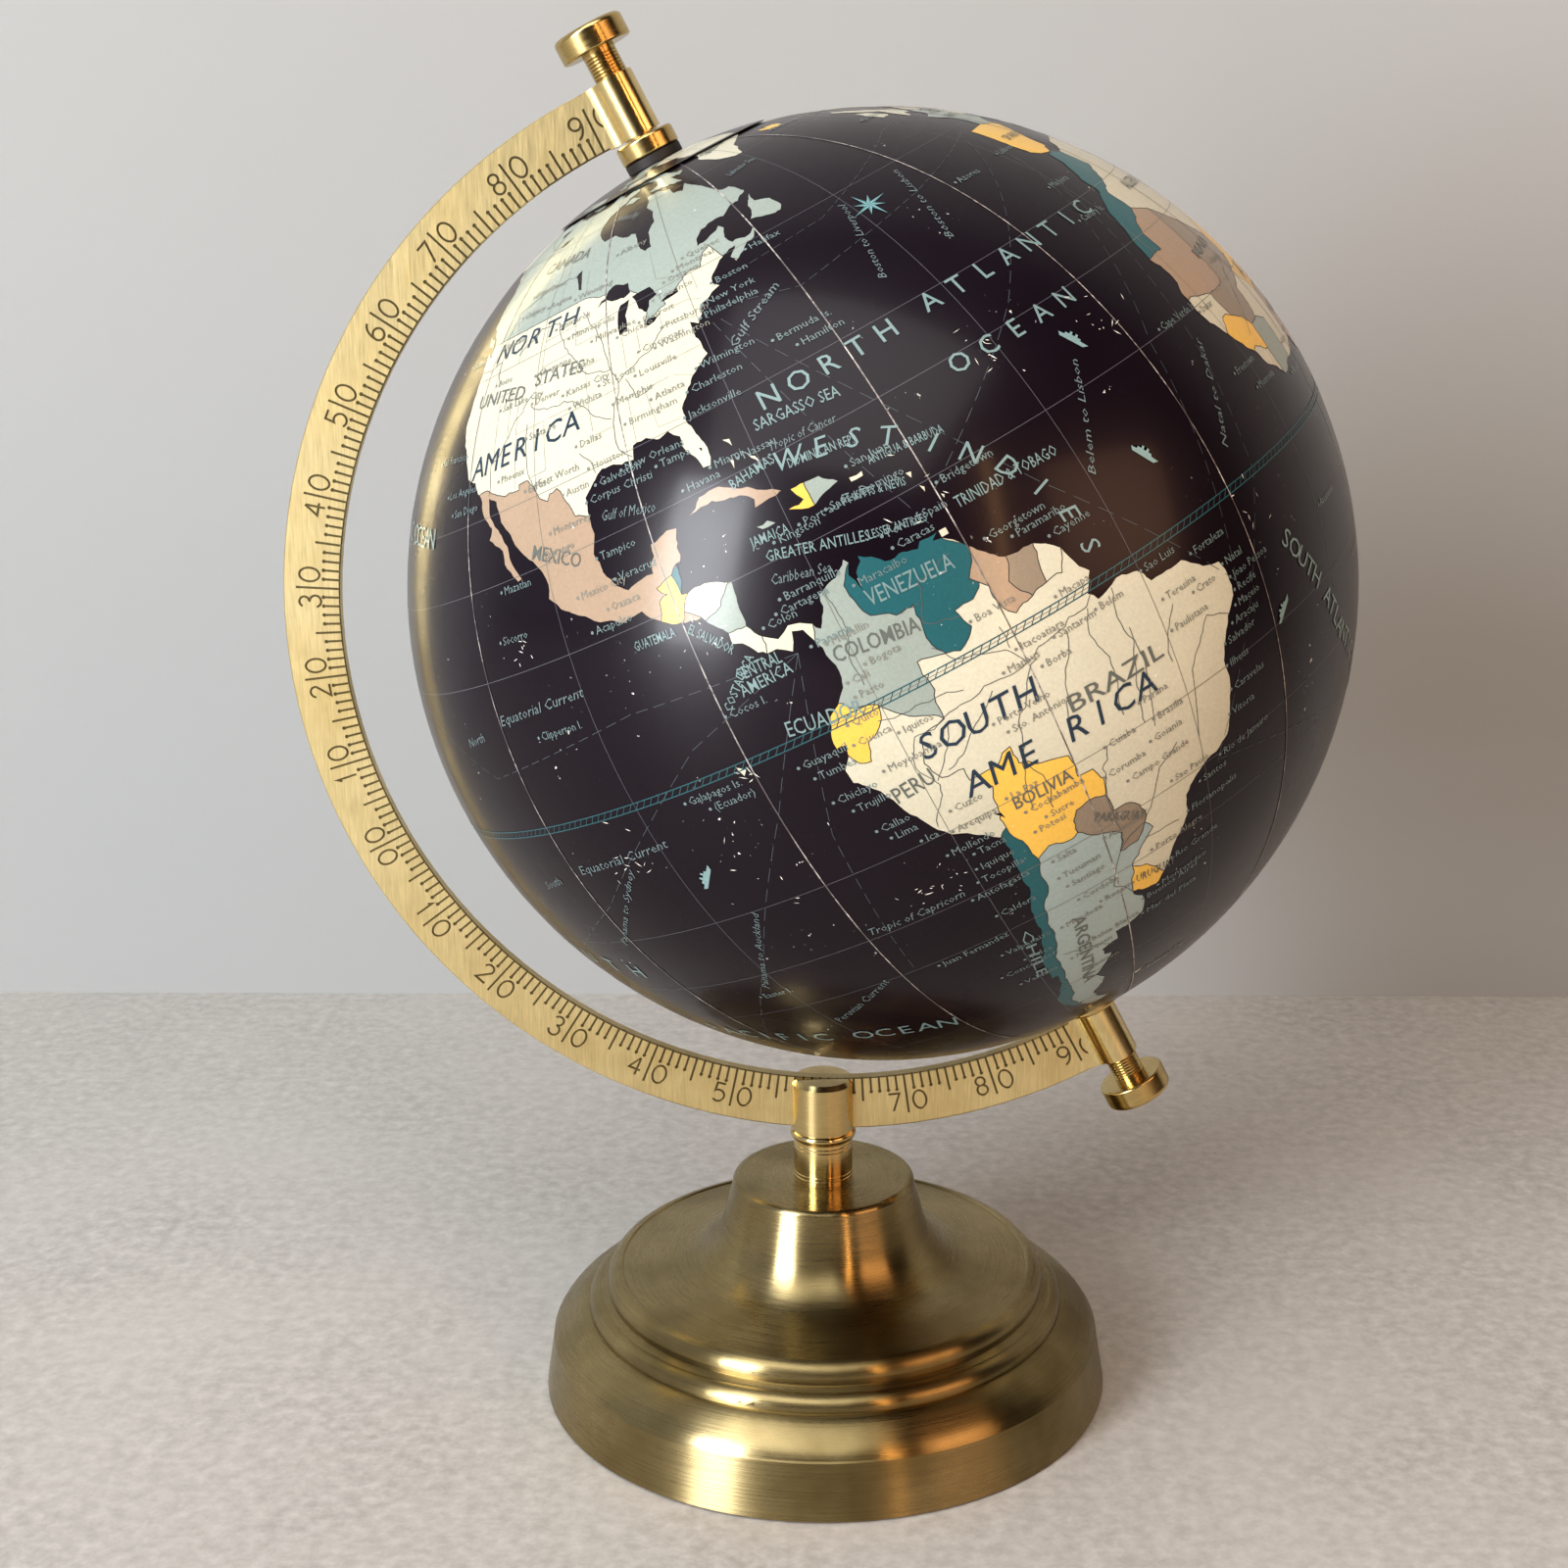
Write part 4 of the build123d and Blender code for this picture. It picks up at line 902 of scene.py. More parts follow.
def sea_lines():
    """Meridians and parallels as they show on the sea, just under the land."""
    ink = printed_ink("sea line ink", (0.105, 0.105, 0.12), 0.3)
    lines = [[(lon, -84), (lon, 84)] for lon in range(-180, 180, 15)]
    lines += [[(-180, y), (180, y)] for y in LINE_LATS if y]
    drawn_lines("sea_lines", lines, 0.13, ink, SEA_R + 0.02 * MM)


def equator_ladder():
    """Two rails and slanting rungs round the equator."""
    ink = printed_ink("equator ink", (0.035, 0.10, 0.115), 0.5)
    rail = 0.38
    lines = [[(-180, y), (180, y)] for y in (-rail, rail)]
    drawn_lines("equator_rails", lines, 0.24, ink)
    rungs = [[(lon, -rail), (lon + 0.7, rail)] for lon in range(-180, 180)]
    drawn_lines("equator_rungs", rungs, 0.17, ink)


def gore_joints():
    """Rubbed edges of the twelve gores."""
    lines = [[(lon, -CALOTTE_LAT), (lon, CALOTTE_LAT)] for lon in range(-180, 180, 30)]
    drawn_lines("gore_joints", lines, 0.26, worn_joint(), LINE_R + 0.015 * MM)


def rivers_and_states():
    ink = printed_ink("river ink", (0.11, 0.12, 0.115), 0.3)
    drawn_lines("rivers", [plotted(t) for t in RIVERS], 0.15, ink, rough=True)
    drawn_lines("state_lines", [plotted(t) for t in STATES], 0.10, printed_ink("state ink", (0.26, 0.26, 0.22), 0.3))


def ship_tracks():
    """Dashed sailing routes and the small steamers on them."""
    ink = printed_ink("track ink", (0.085, 0.10, 0.11), 0.3)
    routes = [
        "-80,7 -95,3 -118,-10 -150,-22", "-80,7 -90,-6 -104,-22 -118,-34", "-80,7 -100,8 -125,6 -155,20",
        "-80,7 -86,-10 -88,-30", "-71,42 -50,43 -20,50 -6,51", "-74,40 -60,37 -35,40 -10,44",
        "-74,40 -66,20 -62,11", "-34,-8 -28,15 -15,35 -8,48", "-34,-8 -50,10 -72,38", "-43,-24 -25,0 -20,20 -12,42",
        "-43,-24 -10,-32 17,-34", "-60,14 -40,25 -12,44", "18,-35 40,-28 75,-5 98,6", "44,12 60,10 77,8 95,6",
        "116,-32 95,-15 80,5", "122,31 150,38 180,42", "-123,48 -150,50 -180,48", "-122,37 -140,30 -157,21",
    ]
    drawn_lines("ship_tracks", [plotted(t) for t in routes], 0.12, ink, dash=0.75)
    bm = bmesh.new()
    hull = [(-3, 0), (-2.5, -0.75), (2.3, -0.75), (3.2, 0.1), (1.5, 0.15), (1.4, 0.6), (0.7, 0.6), (0.7, 1.2),
            (0.2, 1.2), (0.2, 0.6), (-0.4, 0.6), (-0.4, 1.2), (-0.9, 1.2), (-0.9, 0.6), (-1.7, 0.6), (-1.8, 0.1)]
    for lon, lat, turn in ((-36.6, 19.1, -62), (-37.8, 7.2, -58), (-101.9, -9.5, 48), (-28, -14, 40), (70, -8, 30)):
        lay_shape(bm, hull, lon, lat, turn)
    finished_mesh("steamers", bm, printed_ink("steamer ink", (0.22, 0.33, 0.33), 0.5))


def lay_shape(bm, outline, lon, lat, turn):
    """A flat outline in millimetres laid on the ball at a place."""
    flat = bmesh.new()
    face = flat.faces.new([flat.verts.new((x * MM, y * MM, 0)) for x, y in outline])
    bmesh.ops.triangulate(flat, faces=[face])
    for v in flat.verts:
        v.co = laid(v.co, lon, printed(lat), turn, LETTER_R)
    mesh = bpy.data.meshes.new("laid")
    flat.to_mesh(mesh)
    flat.free()
    bm.from_mesh(mesh)
    bpy.data.meshes.remove(mesh)


STAR_PLACE, STAR_TURN = (-42.6, 41.5), 12


def compass_star():
    """Eight-rayed star in the North Atlantic, in two tones."""
    for name, first, ink in (("star_rays", 0, (0.07, 0.20, 0.22)), ("star_light", 1, (0.22, 0.36, 0.37))):
        bm = bmesh.new()
        for k in range(8):
            reach = 4.4 if k % 2 == 0 else 3.0
            a, b = math.radians(45 * k), math.radians(45 * k + (22.5 if first else -22.5))
            wedge = [(0, 0), (reach * math.cos(a), reach * math.sin(a)), (math.cos(b), math.sin(b))]
            lay_shape(bm, wedge if first else wedge[::-1], *STAR_PLACE, STAR_TURN)
        finished_mesh(name, bm, printed_ink(name + " ink", ink, 0.5))


# ---- Lettering ----
def laid(co, lon, lat, turn, radius):
    """A point of a flat drawing, in metres, brought onto the ball at a printed place."""
    p = radial(lon, lat)
    east = NORTH.cross(p).normalized()
    up = p.cross(east)
    a = math.radians(turn)
    x, y = co.x * math.cos(a) - co.y * math.sin(a), co.x * math.sin(a) + co.y * math.cos(a)
    out = (p * BALL_R + east * x + up * y).normalized()
    rise = CALOTTE_RISE if abs(lat) > CALOTTE_LAT else 0
    return BALL + out * (radius + rise)


CAP = 0.70  # height of a capital of the built-in face at size 1
BOLD = 0.012


def letters(bm, text, lon, lat, height, turn=0.0, bold=0.0, slant=0.0, length=None, align="LEFT"):
    """Sets text on the ball with its baseline starting or centred at a printed place."""
    curve = bpy.data.curves.new("letters", "FONT")
    curve.body, curve.shear, curve.offset = text, slant, bold
    curve.size = height / CAP
    curve.resolution_u = 2 if height > 2.5 else 1
    curve.align_x = align
    curve.align_y = "CENTER"
    holder = bpy.data.objects.new("letters", curve)
    mesh = bpy.data.meshes.new_from_object(holder)
    bpy.data.objects.remove(holder)
    bpy.data.curves.remove(curve)
    if mesh.vertices:
        wide = max(v.co.x for v in mesh.vertices) - min(v.co.x for v in mesh.vertices)
        pull = length / wide if length else 1.0
        for v in mesh.vertices:
            v.co = laid(Vector((v.co.x * pull * MM, v.co.y * MM, 0)), lon, lat, turn, LETTER_R)
        bm.from_mesh(mesh)
    bpy.data.meshes.remove(mesh)


def heading(a, b):
    """Angle above east of the way from one printed place to another, and its length in millimetres."""
    mid = math.radians((a[1] + b[1]) / 2)
    dx, dy = (b[0] - a[0]) * math.cos(mid), b[1] - a[1]
    return math.degrees(math.atan2(dy, dx)), math.radians(math.hypot(dx, dy)) * BALL_R / MM


def name_between(bm, text, start, end, height, **style):
    """A name drawn from one place to another."""
    a, b = (start[0], printed(start[1])), (end[0], printed(end[1]))
    turn, length = heading(a, b)
    letters(bm, text, *a, height, turn, length=length, **style)


def name_spaced(bm, text, way, height, **style):
    """Single letters set at even steps along a way of several places."""
    way = [(x, printed(y)) for x, y in way]
    legs = [heading(a, b) for a, b in zip(way, way[1:])]
    total = sum(length for _, length in legs)
    for k, char in enumerate(text):
        run = total * k / (len(text) - 1)
        for (turn, length), a, b in zip(legs, way, way[1:]):
            if run <= length + 1e-6:
                break
            run -= length
        t = run / length
        place = (a[0] + (b[0] - a[0]) * t, a[1] + (b[1] - a[1]) * t)
        if char != " ":
            letters(bm, char, *place, height, turn, align="CENTER", **style)


ISLE_NAMES, ISLE_STYLE = ("WEST", "INDIES"), dict(slant=0.2)


def spaced_names(name, rows, ink, **style):
    """One printed layer of names whose letters are set along a way; the isles' own name is slanted."""
    bm = bmesh.new()
    for text, way, height in rows:
        name_spaced(bm, text, points(way), height, **(ISLE_STYLE if text in ISLE_NAMES else style))
    finished_mesh(name, bm, printed_ink(*ink, 0.5))


def continent_names():
    rows = [
        ("NORTH", "-117.5,47.4 -98.5,47.2", 4.3), ("AMERICA", "-118,35.2 -98,35.3", 4.5),
        ("SOUTH", "-72.9,-6 -61.8,-6", 4.9), ("AME RICA", "-70.2,-11.6 -49.6,-11.6", 4.9),
        ("AFRICA", "5,14 32,12", 5), ("EUROPE", "5,49 36,51", 4.3), ("ASIA", "75,46 118,43", 6),
        ("AUSTRALIA", "120,-25 148,-26", 4.5), ("ANTARCTICA", "-60,-79 40,-79", 3.4),
    ]
    spaced_names("continent_names", rows, ("navy ink", (0.025, 0.045, 0.07)), slant=0.15)


def sea_names():
    rows = [
        ("NORTH", "-70.9,28.3 -54.7,28.5", 4.0), ("ATLANTIC", "-47.8,28.9 -17.5,28.9", 4.0),
        ("OCEAN", "-49.9,22.5 -33.4,22.6", 3.8), ("WEST", "-72.3,22.4 -65.6,21.6 -61.6,20", 3.7),
        ("INDIES", "-57.8,17.6 -52.8,13.4 -49.2,7.8 -48.8,3.2", 3.7),
        ("SOUTH ATLANTIC OCEAN", "-24,-8 -14,-22 2,-34", 3.8), ("SOUTH", "-146,-16 -126,-20", 4.2),
        ("PACIFIC OCEAN", "-130,-33 -92,-42", 4.2), ("NORTH PACIFIC OCEAN", "-172,34 -132,30", 4.2),
        ("PACIFIC OCEAN", "142,12 178,14", 4.2), ("INDIAN OCEAN", "58,-18 98,-22", 5),
        ("SOUTHERN OCEAN", "30,-56 110,-57", 3.8), ("ARCTIC OCEAN", "60,78 170,78", 3.2),
    ]
    spaced_names("sea_names", rows, ("sea name ink", (0.20, 0.285, 0.285)), bold=BOLD)


def country_names():
    """Country names that lie on land, in grey, and those set out on the sea."""
    grey, pale = bmesh.new(), bmesh.new()
    on_land = [
        ("UNITED", -121.3, 42.4, -107.5, 41.8, 2.9), ("STATES", -105.4, 41.8, -94.8, 41.1, 2.9),
        ("CANADA", -114, 57, -96, 57, 3.2), ("COLOMBIA", -77.0, 5.4, -67.9, 4.6, 2.9),
        ("PERU", -78.4, -9.2, -73.8, -8.8, 3.2), ("BRAZIL", -58.3, -9.2, -46.3, -9.4, 3.4),
        ("BOLIVIA", -67.8, -15.6, -60.8, -15.8, 2.7), ("PARAGUAY", -60.2, -21.6, -54.4, -24.8, 2.0),
        ("ARGENTINA", -66.5, -33, -68.6, -47, 2.7), ("MEXICO", -107, 25, -99.8, 22.6, 2.7),
        ("URUGUAY", -57.6, -32.4, -51.6, -33.2, 2.1), ("GREENLAND", -50, 68, -30, 73, 2.8),
        ("ALGERIA", -2, 28, 8, 28, 2.8), ("LIBYA", 12, 27.5, 23, 27, 2.8), ("EGYPT", 26, 27, 33, 26.5, 2.6),
        ("SUDAN", 25, 15.5, 35, 15.5, 2.8), ("NIGERIA", 4, 9, 13, 9.5, 2.6), ("CONGO", 18, -2, 28, -2, 2.8),
        ("ANGOLA", 13.5, -12, 21.5, -12, 2.5), ("TANZANIA", 30.5, -6, 38.5, -6, 2.2),
        ("MALI", -7, 18.5, 1, 19, 2.4), ("SOUTH AFRICA", 18.5, -30.5, 29.5, -30, 2.2),
        ("ETHIOPIA", 36, 8.5, 44, 8.5, 2.2), ("RUSSIA", 55, 59, 118, 60, 4), ("CHINA", 92, 33, 114, 33, 4),
        ("INDIA", 75, 22, 84, 22, 3), ("MONGOLIA", 95, 46, 113, 46, 2.4), ("KAZAKHSTAN", 56, 48, 78, 48, 2.6),
        ("IRAN", 49, 33, 59, 33, 2.6), ("ARABIA", 42, 24, 52, 22, 2.6), ("FRANCE", -0.5, 46.8, 6, 46.8, 2.0),
        ("SPAIN", -7, 40, -1, 40, 2.2), ("TURKEY", 30, 39, 41, 39, 2.2), ("THAILAND", 99, 15.5, 104, 15.5, 1.8),
        ("SWEDEN", 14, 61, 19, 65, 1.8), ("UKRAINE", 26, 49, 36, 48.5, 2.0),
    ]
    at_sea = [
        ("VENEZUELA", -71.4, 8.4, -61.9, 8.0, 3.1), ("ECUADOR", -84.8, 1.3, -76.8, 0.4, 2.9),
        ("CENTRAL", -87, 7.4, -81.8, 7.4, 2.3), ("AMERICA", -87.2, 6.0, -81.2, 6.2, 2.3),
        ("TRINIDAD & TOBAGO", -58.9, 12.0, -46.4, 11.9, 2.2), ("GREATER ANTILLES", -78.8, 15.6, -68.0, 13.4, 2.0),
        ("LESSER ANTILLES", -68.3, 13.2, -62.2, 12.3, 1.6), ("DOMINICAN REP.", -72.4, 22.0, -64.8, 21.4, 1.8),
        ("BAHAMAS", -79.2, 22.6, -73.6, 23.2, 2.0), ("SARGASSO SEA", -74.0, 26.5, -63.3, 26.1, 2.3),
        ("ST. KITTS & NEVIS", -69.0, 17.0, -62.2, 15.9, 1.6), ("ANTIGUA & BARBUDA", -64.6, 18.9, -55.8, 18.4, 1.7),
        ("JAMAICA", -79.6, 17.2, -75.2, 17.0, 1.9), ("COSTA RICA", -89.4, 5.0, -84.6, 8.6, 1.7),
        ("EL SALVADOR", -89.6, 12.9, -86.0, 9.6, 1.8), ("GUATEMALA", -96.4, 13.3, -91.2, 13.2, 1.8),
        ("CHILE", -73.4, -31, -74.6, -40, 2.2), ("JAPAN", 143, 37, 147, 40, 2.2),
        ("MADAGASCAR", 51, -15, 49, -23, 1.8), ("PHILIPPINES", 127, 15, 134, 8, 1.8),
        ("NEW ZEALAND", 177, -43, 188, -43, 1.9),
    ]
    for bm, names in ((grey, on_land), (pale, at_sea)):
        for text, x0, y0, x1, y1, height in names:
            name_between(bm, text, (x0, y0), (x1, y1), height, bold=BOLD)
    finished_mesh("country_names", grey, printed_ink("grey name ink", (0.13, 0.14, 0.125), 0.5))
    finished_mesh("coast_names", pale, printed_ink("pale name ink", (0.19, 0.27, 0.27), 0.5))


def current_names():
    bm = bmesh.new()
    for text, x0, y0, x1, y1, height in [
        ("Gulf Stream", -72.4, 34.6, -63.2, 38.8, 2.0), ("Equatorial Current", -119.9, 11.2, -104.6, 11.8, 2.0),
        ("Equatorial Current", -118.9, -5.2, -103.5, -4.8, 2.0),
        ("Tropic of Cancer", -73.6, 24.1, -65.4, 23.9, 1.7),
        ("Tropic of Capricorn", -89.5, -22.4, -77.2, -22.9, 1.8),
        ("Peruvian Current", -104.4, -34.4, -91.8, -30.4, 1.9), ("North", -129, 9.8, -124.6, 10.2, 1.8),
        ("South", -128.4, -6.6, -124, -6.0, 1.8), ("Labrador Sea", -55, 56.5, -46, 57.5, 1.8),
        ("Gulf of Mexico", -95.6, 25.4, -88.4, 24.2, 2.0), ("Caribbean Sea", -79.4, 13.6, -73.2, 12.4, 1.9),
        ("Hudson Bay", -89, 60, -81, 58.6, 2.0), ("Panama to Sydney", -121.8, -15.4, -110.2, -6.4, 1.5),
        ("Panama to Auckland", -107.2, -25.6, -99, -15.2, 1.5),
        ("Boston to Liverpool", -50.4, 33.2, -46.2, 43.4, 1.5),
        ("Boston to Lisbon", -38.6, 33.4, -33.4, 44.0, 1.5), ("Belem to Lisbon", -44.6, 8.0, -38.4, 17.6, 1.5),
        ("Natal to Dakar", -27.4, 3.2, -21, 12.8, 1.5), ("Benguela Current", 2, -22, 8, -10, 1.8),
        ("Bay of Bengal", 84, 15, 93, 14, 2.0), ("Arabian Sea", 60, 16, 70, 15, 2.2),
        ("Coral Sea", 150, -16, 159, -16, 2.0), ("Tasman Sea", 156, -37, 167, -38, 2.0),
        ("Bering Sea", 172, 57, 184, 57, 2.0), ("Mozambique Channel", 38, -22, 42, -14, 1.6),
    ]:
        name_between(bm, text, (x0, y0), (x1, y1), height, slant=0.25)
    finished_mesh("current_names", bm, printed_ink("current ink", (0.155, 0.20, 0.205), 0.5))


TOWNS = (
    "Chicago,-87.6,41.9 Detroit,-83.4,42.3 Pittsburgh,-80,40.4 Cincinnati,-84.5,39.1 Washington,-81.8,38.6"
    " Louisville,-85.8,36.8 Memphis,-90,35.1 Atlanta,-84.4,33.7 Birmingham,-88.8,32.6 Dallas,-96.8,32.8"
    " Fort_Worth,-104.5,31 Austin,-100,28.9 Houston,-95.4,30.2 Kansas_City,-98.5,38.6 Wichita,-97.3,36.9"
    " Omaha,-98,41 Denver,-105,39.4 Salt_Lake_City,-113,40.4 Cheyenne,-104.8,42.4 Santa_Fe,-106,36"
    " El_Paso,-106.5,30.9 Phoenix,-112,33 Minneapolis,-97.5,44.8 Milwaukee,-92.5,43 St._Louis,-91.8,37.7"
    " Bismarck,-101,46.8 Boise,-116,43.6 Spokane,-117.4,48 Winnipeg,-97,49.6 Regina,-105,50.5 Calgary,-114,51"
    " Edmonton,-113,53.5 Toronto,-80.2,44 Ottawa,-77.6,45.5 Quebec,-73,47.4 Montreal,-75.5,46.4 Albany,-86.5,53"
    " Mexico_City,-101,19.4 Durango,-105,24.2 Monterrey,-103,26 Oaxaca,-97.5,17.4 Medellin,-76.5,6.6 Bogota,-74,3.6"
    " Cali,-76.4,2.8 Pasto,-76.4,1.4 Quito,-78.4,-0.6 Cuenca,-78.8,-2.6 Iquitos,-74.2,-3.4 Moyobamba,-77.4,-6.2"
    " Cuzco,-73.4,-13 Arequipa,-74.2,-15.2 La_Paz,-67.6,-14.6 Cochabamba,-66.4,-17 Sucre,-64.6,-18.6"
    " Potosi,-66.4,-19.6 Manaus,-62.2,-3 Santarem,-56,-2.4 Belem,-50.8,-2.2 Boa_Vista,-62.8,2.6 Borba,-58.4,-4.3"
    " Itacoatiara,-60,-1.6 Teresina,-43.4,-5 Crato,-39.6,-6.2 Paulistana,-43.8,-8.2 Brasilia,-49.4,-15.2"
    " Cuiaba,-55.8,-15 Parana,-50.4,-12.8 Corumba,-57,-18 Goiania,-50.6,-17.2 Campo_Grande,-54.6,-19.8"
    " Sao_Paulo,-49.4,-22.8 Porto_Alegre,-54,-29.6 Asuncion,-59.4,-24.6 Salta,-66,-24 Tucuman,-66.2,-26.4"
    " Santiago,-65.6,-28 Cordoba,-65,-30.6 Rosario,-62.4,-32.6 Mendoza,-68.4,-33.4 Bahia_Blanca,-66,-38"
    " Neuquen,-69,-39.6 Rawson,-68,-43.4 Sto._Antonio,-64.4,-8.4 Porto_Velho,-65.4,-7 Macapa,-54,0.8 Cairo,29,29"
    " Khartoum,31,16.6 Lagos,3,7 Kano,7,12 Timbuktu,-4,17 Nairobi,35,-2 Kampala,31,1.4 Luanda,13.6,-9 Lusaka,26,-15"
    " Pretoria,26,-25.6 Accra,-2,6.6 Dakar,-16.6,14.4 Moscow,37,55.6 Paris,1.6,48.6 Berlin,11,52.4 Rome,11.6,42.6"
    " Vienna,14,48 Warsaw,19,52 Kiev,29,50.6 Oslo,8,60 Ankara,32,40.4 Baghdad,42.6,33.4 Tehran,50,35.6"
    " Delhi,76,28.6 Calcutta,85,23.4 Madras,77,13.6 Bombay,74,19 Beijing,114,39.6 Shanghai,116,31 Canton,111,24"
    " Chungking,104,29.4 Lhasa,89,30 Urumchi,86,43.6 Irkutsk,102,53 Omsk,72,55 Yakutsk,127,62.6 Seoul,126.6,37.2"
    " Hanoi,103.6,21 Bangkok,100.4,14 Perth,117,-31.4 Alice_Springs,132,-23.4 Sydney,146,-33.4 Brisbane,147,-27.4"
    " Darwin,131,-13.4"
)
PORTS = (
    "Boston,-70.3,42.4 New_York,-73,40.5 Philadelphia,-74,39.2 Wilmington,-77.2,34.4 Charleston,-79.4,32.6"
    " Jacksonville,-80.8,30.4 Miami,-80,25 Nassau,-76.6,24.6 Hamilton,-64.2,31.6 Bermuda_Is.,-66.6,33.2"
    " Halifax,-62.8,44.2 New_Orleans,-90.8,28.6 Tampa,-86.2,27.4 Galveston,-94.8,28.4 Corpus_Christi,-96.6,27.2"
    " Tampico,-97,22 Veracruz,-95.4,19.6 Acapulco,-100.4,16 Havana,-84,24.2 Kingston,-76.8,16.4"
    " Port_au_Prince,-73.6,16.8 Santo_Domingo,-70.4,16.9 San_Juan,-66.4,19.4 Barranquilla,-78.8,11.8"
    " Cartagena,-79.8,10.8 Colon,-81.6,10.2 Panama,-78,7.0 Caracas,-66.2,11.3 Maracaibo,-71.4,10.0"
    " Port_of_Spain,-66.6,12.6 Bridgetown,-59,14.4 Georgetown,-57.6,8.2 Paramaribo,-55,7.2 Cayenne,-51.6,5.6"
    " Guayaquil,-85,-2.4 Tumbes,-84,-4 Chiclayo,-83.6,-7 Trujillo,-82.2,-8.6 Callao,-81.2,-11.6 Lima,-80.2,-12.9"
    " Ica,-77.6,-14.6 Mollendo,-76,-17.4 Tacna,-73.4,-18.6 Iquique,-74,-20.4 Tocopilla,-74.6,-22"
    " Antofagasta,-76.2,-23.8 Caldera,-74.8,-27.2 Valparaiso,-77,-33.2 Talca,-74.8,-35.6 Concepcion,-79,-37"
    " Valdivia,-77.4,-39.8 Juan_Fernandez,-84.6,-30.6 Sao_Luis,-44.4,-1.4 Fortaleza,-38,-2.8 Natal,-34.6,-5.6"
    " Joao_Pessoa,-34.2,-7.2 Recife,-34.2,-8.6 Maceio,-34.8,-10 Aracaju,-36,-11.4 Salvador,-37.8,-12.8"
    " Ilheus,-38.4,-15 Caravelas,-38.6,-17.6 Vitoria,-39.6,-20 Rio_de_Janeiro,-42,-23.6 Santos,-45.6,-25"
    " Florianopolis,-48,-27.6 Rio_Grande,-51.4,-32.4 Montevideo,-54,-35.2 Buenos_Aires,-56.6,-36"
    " Mar_del_Plata,-57,-38.4 Falkland_Is.,-57,-52.6 Galapagos_Is.,-98.4,-1.4 (Ecuador),-96,-2.8"
    " Clipperton_I.,-113.4,8.8 Cocos_I.,-89.4,4.6 Easter_I.,-109,-26.8 San_Francisco,-131,37.4"
    " Los_Angeles,-126,33.6 San_Diego,-124,31.6 Seattle,-130.6,47.6 Mazatlan,-113,22.6 Socorro,-115,18.2"
    " Azores,-28,38.6 Madeira,-17,32.6 Canary_Is.,-20,28 Cape_Verde_Is.,-25,15.4 Ascension,-14,-8"
    " St._Helena,-5,-16.6 Lisbon,-14.6,39 Dublin,-14,53.4 Reykjavik,-24,63 Freetown,-18.6,8 Monrovia,-16,5.6"
    " Abidjan,-5,4 Cape_Town,10.4,-35 Durban,32,-30.6 Mombasa,40.4,-4 Aden,45,11 Zanzibar,40,-6.4 Mauritius,57,-20"
    " Seychelles,55,-5 Maldives,73,4 Colombo,74.6,6 Singapore,104.6,1 Manila,114.6,14 Hong_Kong,115,21 Guam,144,13"
    " Tokyo,141.4,35.6 Osaka,134,32.6 Honolulu,-157,22 Tahiti,-149,-17.6 Samoa,-172,-13.6 Fiji,178,-17.6"
    " Suva,179,-19 Auckland,176,-36 Hobart,149,-43 Melbourne,144,-39.6 Adelaide,131.4,-36 Wake_I.,166,19.4"
    " Caroline_Is.,150,7"
)


def town_names():
    """Town names with their dots: dark on land, pale on the sea."""
    dot = [(0.36 * math.cos(math.radians(a)), 0.36 * math.sin(math.radians(a))) for a in range(0, 360, 60)]
    for name, places, ink, height in (
        ("town_names", TOWNS, (0.22, 0.22, 0.19), 1.5),
        ("port_names", PORTS, (0.165, 0.22, 0.22), 1.6),
    ):
        bm = bmesh.new()
        for place in places.split():
            text, lon, lat = place.rsplit(",", 2)
            lon, lat = float(lon), float(lat)
            letters(bm, text.replace("_", " "), lon, printed(lat), height)
            lay_shape(bm, dot, lon - 0.5 / math.cos(math.radians(lat)), lat, 0)
        finished_mesh(name, bm, printed_ink(name + " ink", ink, 0.4))


SCUFF_SEED = 11


def scuffs():
    """Short white scratches through the lacquer, in the places most often touched."""
    bm = bmesh.new()
    draw = random.Random(SCUFF_SEED)
    for lon, lat, spread, count in (
        (-110, -7, 5, 12), (-80, -21, 3.4, 16), (-32, 20, 3.2, 12), (-88, 12, 4, 9), (-112, 17.5, 3, 9),
        (-28, -3, 4, 7), (-90.6, -1, 1.2, 7), (-46, 22, 4, 12), (-96, -12, 9, 8), (-62, 15, 4, 5), (40, 10, 30, 30),
        (140, -10, 30, 25),
    ):
        for _ in range(count):
            x, y = lon + draw.gauss(0, spread / 2), lat + draw.gauss(0, spread / 2.6)
            turn = draw.gauss(-25, 40)
            length, wide = draw.uniform(0.15, 0.95), draw.uniform(0.05, 0.14)
            lay_shape(bm, [(-length, 0), (0.1, -wide), (length, 0.04), (-0.1, wide)], x, y, turn)
    finished_mesh("scuffs", bm, printed_ink("bare paper", (0.78, 0.76, 0.70), 0.0))


def printed_ball():
    sea_gores()
    sea_lines()
    lands()
    equator_ladder()
    gore_joints()
    rivers_and_states()
    ship_tracks()
    compass_star()
    continent_names()
    sea_names()
    country_names()
    current_names()
    town_names()
    scuffs()


# =====================================================================
# Finishes on the carried-over parts
# =====================================================================
def dress(names, finish):
    for name in names:
        mesh = nodes[name].data
        mesh.materials.clear()
        mesh.materials.append(finish)


